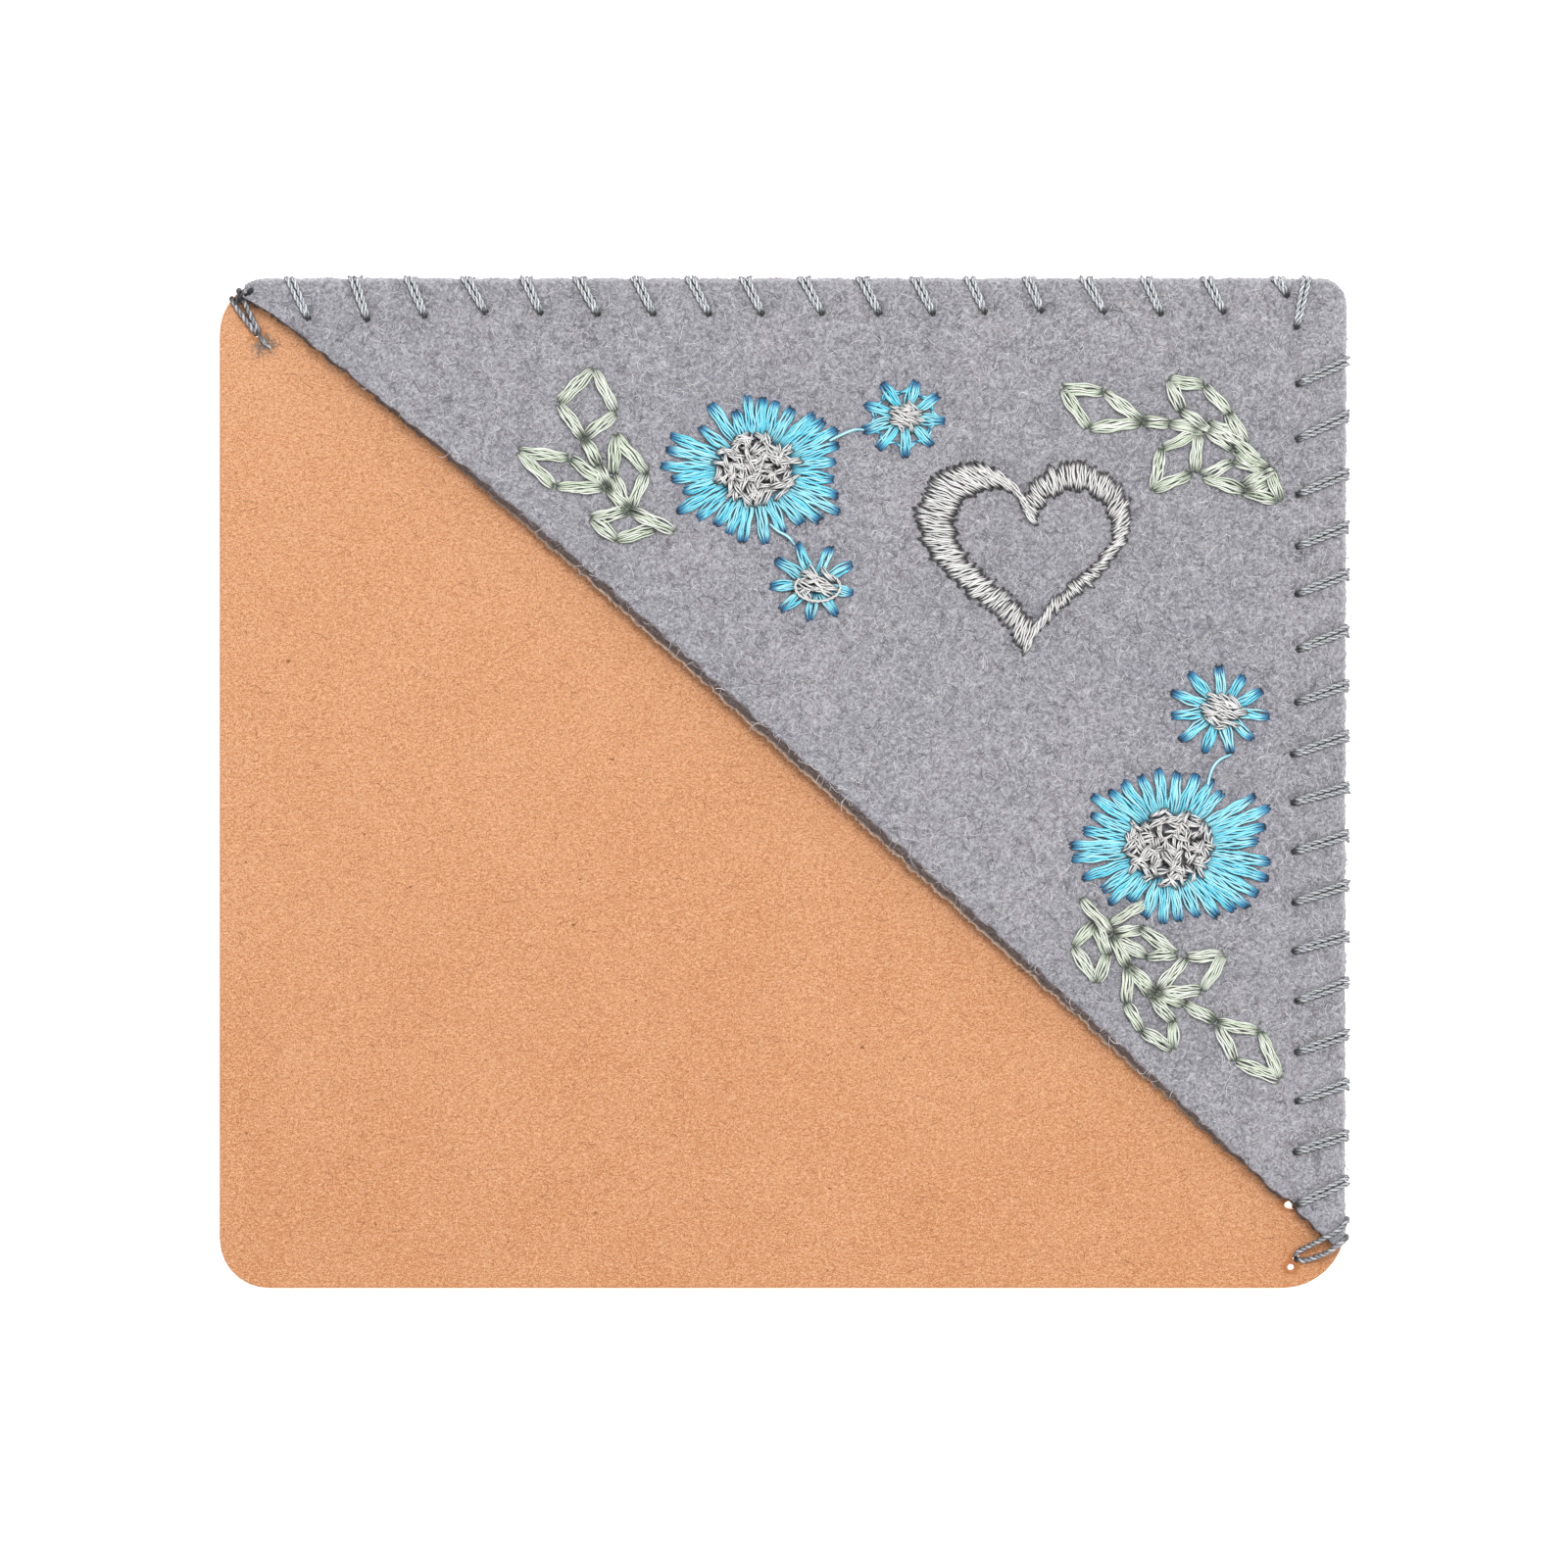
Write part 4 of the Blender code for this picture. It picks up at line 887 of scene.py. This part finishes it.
def make_card_hairs():
    """Long fine fibres in the kraft paper's surface, pale and dark."""
    outline = felt_outline(2.0)
    palettes = (("paper_fibres_pale", 4200, srgb(230, 174, 132), srgb(254, 214, 178), 0.014),
                ("paper_fibres_dark", 900, srgb(120, 70, 38), srgb(180, 116, 72), 0.016))
    for name, number, first, second, width in palettes:
        places = RANDOM.uniform((-RIGHT + 1, -TOP + 1), (RIGHT - 4, TOP - 4), (number * 2, 2))
        places = places[~inside(places, outline)][:number]
        headings = RANDOM.normal(0, 0.5, len(places))
        paths = curled_paths(places, headings, RANDOM.uniform(0.25, 1.2, len(places)), 0.25)
        paths[..., 2] = CARD_THICKNESS + 0.004
        reach = np.abs(paths[..., :2]).max(axis=1)
        fits = (reach < (RIGHT - 0.6, TOP - 0.6)).all(axis=1)
        material = fibre_material(name, first, second)
        strand_piece(name, None, paths[fits], width, material, sides=3)


# ---------------------------------------------------------------- seam thread
def square_to(vector):
    """The flat vector turned a quarter clockwise."""
    return np.array([vector[1], -vector[0]])


def strand_route(stitches, side, outward, off):
    """The route of one strand of the doubled thread through its stitches, off past the edge.

    It comes up through each hole, crosses the felt to the edge and passes under the card to the next hole.
    side is +1 or -1, for the strand's side of the pair.
    """
    high = FELT_HIGH - 0.1 + STRAND / 2
    low = -0.07 - STRAND / 2
    ease = 0.3
    aside = side * STRAND_SPACING / 2
    outward = np.array(outward)
    route = []
    for number, (hole, edge) in enumerate(stitches):
        hole, edge = np.array(hole), np.array(edge)
        front = unit(edge - hole)
        back = -outward
        if number + 1 < len(stitches):
            back = unit(np.array(stitches[number + 1][0]) - edge)
        arrival = back
        if number > 0:
            arrival = unit(hole - np.array(stitches[number - 1][1]))
        front_side = square_to(front) * aside
        arrival_side = -square_to(arrival) * aside
        middle_side = (front_side + arrival_side) / 2
        front_edge = square_to(outward) * aside / abs(front @ outward)
        back_edge = square_to(outward) * aside / abs(back @ outward)
        outside = edge + outward * off
        route += [
            (*(hole - arrival * ease + arrival_side), low),
            (*(hole + arrival_side), low + ease),
            (*(hole + middle_side * 0.5), (low + high) / 2),
            (*(hole + front_side * 0.3), high - 0.6),
            (*(hole + front * ease + front_side * 0.45), high - 0.12),
            (*(hole + front * 1.3 + front_side * 0.8), high + 0.03),
            (*(edge + front_edge), high - 0.06),
            (*(outside + front_edge), high - 0.45),
            (*(outside + back_edge), low + ease),
            (*(edge + back_edge), low),
        ]
    return np.array(route)


def twisted_pair(route, radius, pitch, spacing):
    """Two plies twisted round a route, and the route's evenly spaced points."""
    centre = resample(route, max(12, int(run_lengths(route)[-1] / spacing)))
    _, normals, sides = path_frames(centre[None])
    plies = []
    for start in (0, math.pi):
        angle = (2 * math.pi * run_lengths(centre) / pitch + start)[:, None]
        plies.append(centre + (normals[0] * np.cos(angle) + sides[0] * np.sin(angle)) * radius * 0.5)
    return plies, centre


def seam_material():
    """Grey blue sewing thread."""
    # Colours: painted highlight, the thread's own grey blue, painted shade between strands, painted shade at
    # the ends.
    return thread_material("seam_thread", srgb(244, 247, 252), srgb(142, 145, 151), srgb(20, 22, 25),
                           srgb(20, 20, 23), roughness=0.4)


def make_seam_thread(material):
    """The four strands of the doubled whip-stitch thread, each twisted from two plies."""
    # The tones are each seam's share of painted highlight: the top seam is painted lighter because it is
    # more strongly lit.
    seams = (("right", right_stitches(), (1, 0), -0.14, (0.3, 0.5)),
             ("top", top_stitches(), (0, 1), -0.2, (0.55, 0.85)))
    for seam, stitches, outward, off, tones in seams:
        holes = np.array([hole for hole, edge in stitches])
        for number, side in ((1, 1), (2, -1)):
            node = f"{seam}_whip_strand_{number}"
            plies, centre = twisted_pair(strand_route(stitches, side, outward, off), STRAND / 2, 1.0, 0.11)
            # Painted shade on the strands where they go into their holes.
            away = np.linalg.norm(centre[:, None, :2] - holes[None], axis=2).min(axis=1)
            ends = np.clip(1.25 - away / 0.5, 0, 1)
            strand_piece(f"twisted_{node}", node, plies, STRAND / 2 * 0.56, material,
                         ends=[ends, ends], tones=np.array(tones))


def tie_piece(node, route, hole, turn, material):
    """One closed tie loop of twisted thread, with painted shade at its hole and where it turns over the
    edge.
    """
    plies, centre = twisted_pair(np.array(route), STRAND / 2 * 1.15, 0.9, 0.1)
    from_hole = np.linalg.norm(centre[:, :2] - np.array(hole), axis=1)
    from_turn = np.linalg.norm(centre[:, :2] - np.array(turn), axis=1)
    ends = np.clip(1.2 - np.minimum(from_hole / 0.36, from_turn / 0.4), 0, 1)
    strand_piece(f"twisted_{node}", node, plies, STRAND / 2 * 0.7, material,
                 ends=[ends, ends], tones=np.array([0.1, 0.45]))


def make_start_tie(material):
    """The loop at the bottom right, from a hole in the card over the felt's tip and round the edge."""
    high = FELT_HIGH + 0.12
    card = CARD_THICKNESS + STRAND / 2
    low = -0.15
    tie_piece("start_tie_strand_1", [
        (36.4, -33.45, low + 0.2), (36.4, -33.45, card - 0.15), (36.85, -33.1, card + 0.1),
        (38.3, -32.3, high), (39.3, -31.8, high), (39.95, -31.2, high - 0.3), (40.05, -31.0, high - 0.8),
        (40.05, -30.95, 0.2),
        (39.6, -31.3, low), (37.2, -33.1, low)], START_TIE_HOLE, (40.25, -30.8), material)
    tie_piece("start_tie_strand_2", [
        (36.55, -33.85, low + 0.2), (36.55, -33.8, card - 0.15), (37.1, -33.85, card + 0.05),
        (38.0, -33.55, card + 0.5), (38.9, -33.1, high), (39.85, -32.4, high), (40.0, -32.2, high - 0.8),
        (40.0, -32.2, 0.3),
        (39.6, -32.3, low), (37.4, -33.6, low)], START_TIE_HOLE, (40.1, -32.2), material)


def make_end_tie(material):
    """The loop at the top left, from a hole in the card round its corner."""
    card = CARD_THICKNESS + STRAND / 2
    low = -0.15
    tie_piece("end_tie_strand_1", [
        (-37.45, 32.0, low + 0.2), (-37.45, 32.0, card - 0.1), (-37.7, 32.35, card + 0.08),
        (-38.45, 33.35, card + 0.12), (-38.95, 34.1, card + 0.05), (-39.1, 34.4, card - 0.2),
        (-39.1, 34.4, 0.2),
        (-38.9, 34.0, low), (-37.8, 32.5, low)], END_TIE_HOLE, (-39.1, 34.5), material)
    tie_piece("end_tie_strand_2", [
        (-37.2, 32.05, low + 0.2), (-37.2, 32.05, card - 0.1), (-37.35, 32.4, card + 0.1),
        (-37.85, 33.4, card + 0.2), (-38.3, 34.4, card + 0.4), (-38.6, 34.95, card), (-38.62, 34.98, 0.2),
        (-38.3, 34.4, low), (-37.4, 32.6, low)], END_TIE_HOLE, (-38.5, 34.8), material)


def make_knot():
    """Turns of thread that tie off the seam on the card's corner, beside the felt's tip, painted near black:
    painted shade in the knot's tight turns.
    """
    turns = []
    for number in range(6):
        shift = np.array([0.17, 0.14]) * number
        first = np.array([-38.75, 34.15]) + shift + RANDOM.normal(0, 0.05, 2)
        last = np.array([-38.55, 34.6]) + shift * 0.9 + RANDOM.normal(0, 0.08, 2)
        middle = (first + last) / 2 + np.array([0.15, -0.05])
        route = [(*first, 0.5), (*first, 1.0), (*middle, 1.45 + 0.2 * number), (*last, 1.1), (*last, 0.4)]
        turns.append(resample(route, 24))
    # The knot's grey thread is painted near black: painted shade.
    shaded_knot_thread = fibre_material("shaded_knot_thread", srgb(10, 10, 12), srgb(44, 46, 50))
    strand_piece("wound_end_knot", "end_knot", turns, 0.19, shaded_knot_thread)


def make_tail(material):
    """The cut end of the thread on the card by the hole: two short strands that open into fine fibres."""
    low = CARD_THICKNESS + 0.12
    length = 24
    plies = []
    for end, bend in (((-36.35, 30.95), (-36.9, 31.35)), ((-36.65, 31.25), (-37.1, 31.75))):
        route = np.array([(-37.35, 32.1, low + 0.1), (*bend, low + 0.08), (*end, low)])
        pair, _ = twisted_pair(route, 0.11, 0.6, 0.06)
        plies += [resample(ply, length) for ply in pair]
    # The strands get painted shade towards the hole, fading to none at their cut ends.
    strand_piece("frayed_thread_tail", "thread_tail", plies, 0.075, material,
                 ends=np.tile(np.linspace(0.9, 0.0, length), (4, 1)), tones=np.array([0.3, 0.7, 0.1, 0.5]))
    number = 110
    places = np.array([-36.95, 31.35]) + RANDOM.normal(0, 0.36, (number, 2))
    headings = RANDOM.normal(-0.85, 0.8, number)
    paths = bent_paths(places, headings, RANDOM.uniform(0.2, 0.7, number), 1.0)
    paths[..., 2] = CARD_THICKNESS + 0.02
    fluff = fibre_material("frayed_fibres", srgb(128, 114, 102), srgb(196, 178, 162))
    strand_piece("frayed_fibres", None, paths, 0.016, fluff, sides=3)


# ---------------------------------------------------------------- embroidery
def stitch(start, end, strands=5, width=0.86, height=0.3, lift=0.0, end_width=0.4, swing=0.05):
    """The strands of one embroidery stitch: a flat lens of threads that rises and dives back."""
    reach = np.subtract(end, start)
    length = np.linalg.norm(reach)
    run = reach / length
    start, end = start - run * 0.1, end + run * 0.1
    side = np.array([-run[1], run[0]])
    share = np.linspace(0, 1, STITCH_POINTS)
    swell = np.sin(math.pi * share) ** 0.5
    paths = []
    for number in range(strands):
        offset = (number - (strands - 1) / 2) / max(1, strands - 1) * (width - 0.2)
        offset += RANDOM.normal(0, 0.03)
        turn = 2 * math.pi * (length * share / 1.7 + RANDOM.random())
        cross = RANDOM.normal(0, 0.06) * (share - 0.5) * 2 + swing * np.sin(turn)
        first = start + run * RANDOM.normal(0, 0.06)
        last = end + run * RANDOM.normal(0, 0.06)
        line = first + (last - first) * share[:, None]
        line = line + side * ((offset * (end_width + (1 - end_width) * swell)) + cross * swell)[:, None]
        crown = 1 - (2 * offset / width) ** 2
        rise = -0.28 + (height + 0.28 + 0.1 * crown + swing * np.cos(turn)) * swell
        paths.append(np.column_stack([line, felt_surface(line) + rise + lift]))
    return paths


def end_shade(count, reach, last=1.0):
    """How much painted shade each point of count strands gets: darkest where they dive in at their ends."""
    share = np.linspace(0, 1, STITCH_POINTS)
    from_first = np.clip(1.4 - share / reach, 0, 1) ** 0.8
    from_last = last * np.clip(1.4 - (1 - share) / reach, 0, 1) ** 0.8
    return np.tile(np.maximum(from_first, from_last), (count, 1))


def make_petals(name, flower, material):
    """A flower's petals: one stitch from each tip to the centre's edge."""
    centre = np.array(flower["centre"])
    pad = np.array(flower["pad"])
    small = pad[0] < 2
    paths = []
    for number, tip in enumerate(flower["tips"]):
        out = (np.array(tip) - centre) / pad
        root = centre + pad * (0.55 if small else 0.8) * unit(out)
        paths += stitch(tip, root, strands=6 if small else 7, width=0.84 if small else 0.88,
                        lift=0.1 * (number % 2), end_width=0.36)
    if name == "top_blossom":
        paths += blossom_outline(flower)
    ends = end_shade(len(paths), 0.22 if small else 0.17, last=0.3)
    strand_piece(f"stitches_{name}_petals", f"{name}_petals", paths, 0.078, material,
                 ends=ends)


def blossom_outline(flower):
    """Thin stitches that join the petals of a blossom part way out."""
    centre = np.array(flower["centre"])
    tips = np.array(flower["tips"])
    paths = []
    for tip, following in zip(tips, np.roll(tips, -1, axis=0)):
        valley = centre + ((tip + following) / 2 - centre) * 0.72
        paths += stitch(centre + (tip - centre) * 0.8, valley, strands=2, width=0.3, height=0.15)
        paths += stitch(valley, centre + (following - centre) * 0.8, strands=2, width=0.3, height=0.15)
    return paths


def make_centre(name, flower, material):
    """A flower's centre: a heap of short silver stitches laid across each other."""
    centre = np.array(flower["centre"])
    pad = np.array(flower["pad"])
    small = pad[0] < 2
    number = 17 if small else 105
    golden_angle = math.pi * (3 - math.sqrt(5))
    paths = []
    for index in range(number):
        radius = math.sqrt((index + 0.5) / number) * 0.92
        spot = centre + pad * radius * directions(golden_angle * index + RANDOM.normal(0, 0.2))
        if small:
            heading = RANDOM.normal(-0.5, 0.35)
            half = RANDOM.uniform(0.5, 0.8) * min(1.0, pad[1])
        else:
            heading = RANDOM.uniform(0, math.pi)
            half = RANDOM.uniform(0.38, 0.68)
        reach = directions(heading) * half
        lift = 0.1 + 0.25 * (1 - radius ** 2) + RANDOM.uniform(0, 0.35)
        paths += stitch(spot - reach, spot + reach, strands=3, width=0.42, lift=lift, end_width=0.6,
                        swing=0.08)
    ends = end_shade(len(paths), 0.1 if small else 0.13)
    strand_piece(f"knots_{name}", f"{name}_centre", paths, 0.075, material, ends=ends)


def make_sprig(name, runs, material):
    """A leaf sprig: a stitch from each point of its runs to the next."""
    paths = []
    for run in runs:
        for start, end in zip(run, run[1:]):
            paths += stitch(start, end, strands=8, width=0.97, lift=RANDOM.uniform(0, 0.06))
    for start, end in OVERLAPS.get(name, []):
        paths += stitch(start, end, strands=7, width=0.85, lift=RANDOM.uniform(0.12, 0.3))
    ends = end_shade(len(paths), 0.09)
    strand_piece(f"stitches_{name}", name, paths, 0.08, material, ends=ends)


def heart_point(angle, scale, shift):
    """A point of a plain heart outline."""
    x = 16 * math.sin(angle) ** 3
    y = 13 * math.cos(angle) - 5 * math.cos(2 * angle) - 2 * math.cos(3 * angle) - math.cos(4 * angle)
    return np.array([HEART_CENTRE[0] + shift + scale * HEART_SIZE * x / 32,
                     HEART_CENTRE[1] + scale * HEART_SIZE * (y + 2.5) / 32])


def make_heart(material):
    """The satin-stitched heart: threads laid side by side across its band."""
    pitch = 0.37
    angles = np.linspace(0.02, 2 * math.pi - 0.02, 1200)
    outer = np.array([heart_point(angle, 1.0, 0.0) for angle in angles])
    inner = np.array([heart_point(angle, HEART_OPENING, HEART_SHIFT) for angle in angles])
    lengths = run_lengths((outer + inner) / 2)
    places = np.arange(0.1, lengths[-1] - 0.1, pitch)
    firsts = read_line(outer, lengths, places)
    lasts = read_line(inner, lengths, places + pitch * 0.5)
    paths = []
    for first, last in zip(firsts, lasts):
        across = unit(last - first)
        first = first - across * RANDOM.uniform(-0.1, 0.35)
        last = last + across * RANDOM.uniform(-0.1, 0.35)
        paths += stitch(first, last, strands=3, width=0.42, height=0.34, end_width=0.6,
                        lift=RANDOM.uniform(0, 0.26), swing=0.07)
    ends = end_shade(len(paths), 0.16)
    strand_piece("satin_heart", "heart_motif", paths, 0.078, material, ends=ends)


def make_loose_threads(blue, silver):
    """The jump threads between flowers and the loose loop on the middle blossom."""
    jumps = ([(3.3, 24.3), (4.2, 24.75), (5.1, 25.1), (5.8, 25.1)],
             [(-0.9, 18.4), (-0.3, 17.9), (0.4, 17.5), (0.85, 16.95)],
             [(31.8, 2.05), (31.1, 1.75), (30.6, 1.25), (30.3, 0.5), (30.1, -0.6)])
    for number, places in enumerate(jumps, start=1):
        places = resample(places, 16)
        lift = 0.12 + 0.3 * np.sin(np.linspace(0, math.pi, 16))
        path = np.column_stack([places, felt_surface(places) + lift])
        # Tone 1 paints the jump threads wholly in the thread's painted highlight colour.
        strand_piece(f"loose_jump_thread_{number}", f"jump_thread_{number}", [path], 0.12, blue,
                     tones=np.array([1.0]))
    count = 30
    places = np.array([2.5, 13.95]) + (1.6, 1.02) * directions(np.radians(np.linspace(70, -215, count)))
    lift = np.linspace(0.6, 0.95, count) - 0.35 * np.exp(-np.linspace(0, 8, count))
    plies, _ = twisted_pair(np.column_stack([places, felt_surface(places) + lift]), 0.1, 0.7, 0.08)
    strand_piece("curled_silver_loop", "loose_silver_loop", plies, 0.065, silver,
                 tones=np.array([0.5, 0.9]))


def make_embroidery():
    """Every motif in its own thread colour."""
    # Each thread's colours are its painted highlight, its own colour, its painted shade between strands and
    # its painted shade at the ends.
    blue = thread_material("blue_thread", srgb(196, 255, 255), srgb(84, 228, 252), srgb(6, 112, 166),
                           srgb(6, 28, 46))
    green = thread_material("green_thread", srgb(252, 255, 246), srgb(212, 225, 199), srgb(48, 62, 43),
                            srgb(14, 22, 12))
    silver = thread_material("silver_thread", srgb(255, 255, 254), srgb(236, 234, 233), srgb(66, 62, 62),
                             srgb(30, 29, 31), roughness=0.35)
    for name, flower in FLOWERS.items():
        make_petals(name, flower, blue)
        make_centre(name, flower, silver)
    for name, runs in SPRIGS.items():
        make_sprig(name, runs, green)
    make_heart(silver)
    make_loose_threads(blue, silver)


def finish_bobbin_threads():
    """The CAD bobbin threads keep their shape and get a matt white thread."""
    nodes = Nodes("bobbin_thread")
    weave = nodes.noise(nodes.coordinates((1.0, 4.0, 1.0)), 3.0)
    colour = nodes.mix(nodes.band(weave, 0.35, 0.65), srgb(205, 205, 206), srgb(242, 242, 242))
    material = nodes.finish(colour, weave, bump=0.4, roughness=0.8, specular=0.2)
    for name, node in frame["nodes"].items():
        if name.startswith("bobbin_"):
            for slot in node.material_slots:
                slot.material = material


# ---------------------------------------------------------------- stage
def make_stage():
    """A pale floor, soft light and a long-lens camera straight above."""
    nodes = Nodes("floor")
    nodes.shader.inputs["Base Color"].default_value = (0.93, 0.93, 0.93, 1.0)
    nodes.shader.inputs["Roughness"].default_value = 0.9
    nodes.shader.inputs["Specular IOR Level"].default_value = 0.1
    nodes.shader.inputs["Emission Color"].default_value = (1.0, 1.0, 1.0, 1.0)
    nodes.shader.inputs["Emission Strength"].default_value = 0.85
    bpy.ops.mesh.primitive_plane_add(size=6.0, location=(0, 0, 0))
    floor = bpy.context.object
    floor.name = "floor"
    floor.data.materials.append(nodes.material)

    world_light = bpy.data.worlds.new("soft_room")
    bpy.context.scene.world = world_light
    world_light.use_nodes = True
    world_light.node_tree.nodes["Background"].inputs["Color"].default_value = (1.0, 1.0, 1.0, 1.0)
    world_light.node_tree.nodes["Background"].inputs["Strength"].default_value = 0.75

    lamp = bpy.data.lights.new("key", "AREA")
    lamp.shape = "DISK"
    lamp.size = 0.35
    lamp.energy = 4.2
    key = bpy.data.objects.new("key", lamp)
    key.location = (0.2, 0.28, 0.85)
    key.rotation_euler = key.location.to_track_quat("Z", "Y").to_euler()
    bpy.context.scene.collection.objects.link(key)

    data = bpy.data.cameras.new("camera")
    camera = bpy.data.objects.new("camera", data)
    bpy.context.scene.collection.objects.link(camera)
    height = 1.2
    frame_width = 0.1115
    data.sensor_width = 36.0
    data.lens = 36.0 * height / frame_width
    data.clip_start = 0.05
    data.clip_end = 20.0
    camera.location = (ORIGIN[0] + 0.0001, ORIGIN[1] - 0.00003, height)
    bpy.context.scene.camera = camera
    bpy.context.scene.view_settings.view_transform = "Standard"


make_stage()
make_card()
make_card_hairs()
FELT_EDGE = make_felt()
make_felt_fibres(FELT_EDGE)
make_mouth_fibres()
make_edge_fibres()
SEAM_MATERIAL = seam_material()
make_seam_thread(SEAM_MATERIAL)
make_start_tie(SEAM_MATERIAL)
make_end_tie(SEAM_MATERIAL)
make_knot()
make_tail(SEAM_MATERIAL)
make_embroidery()
finish_bobbin_threads()
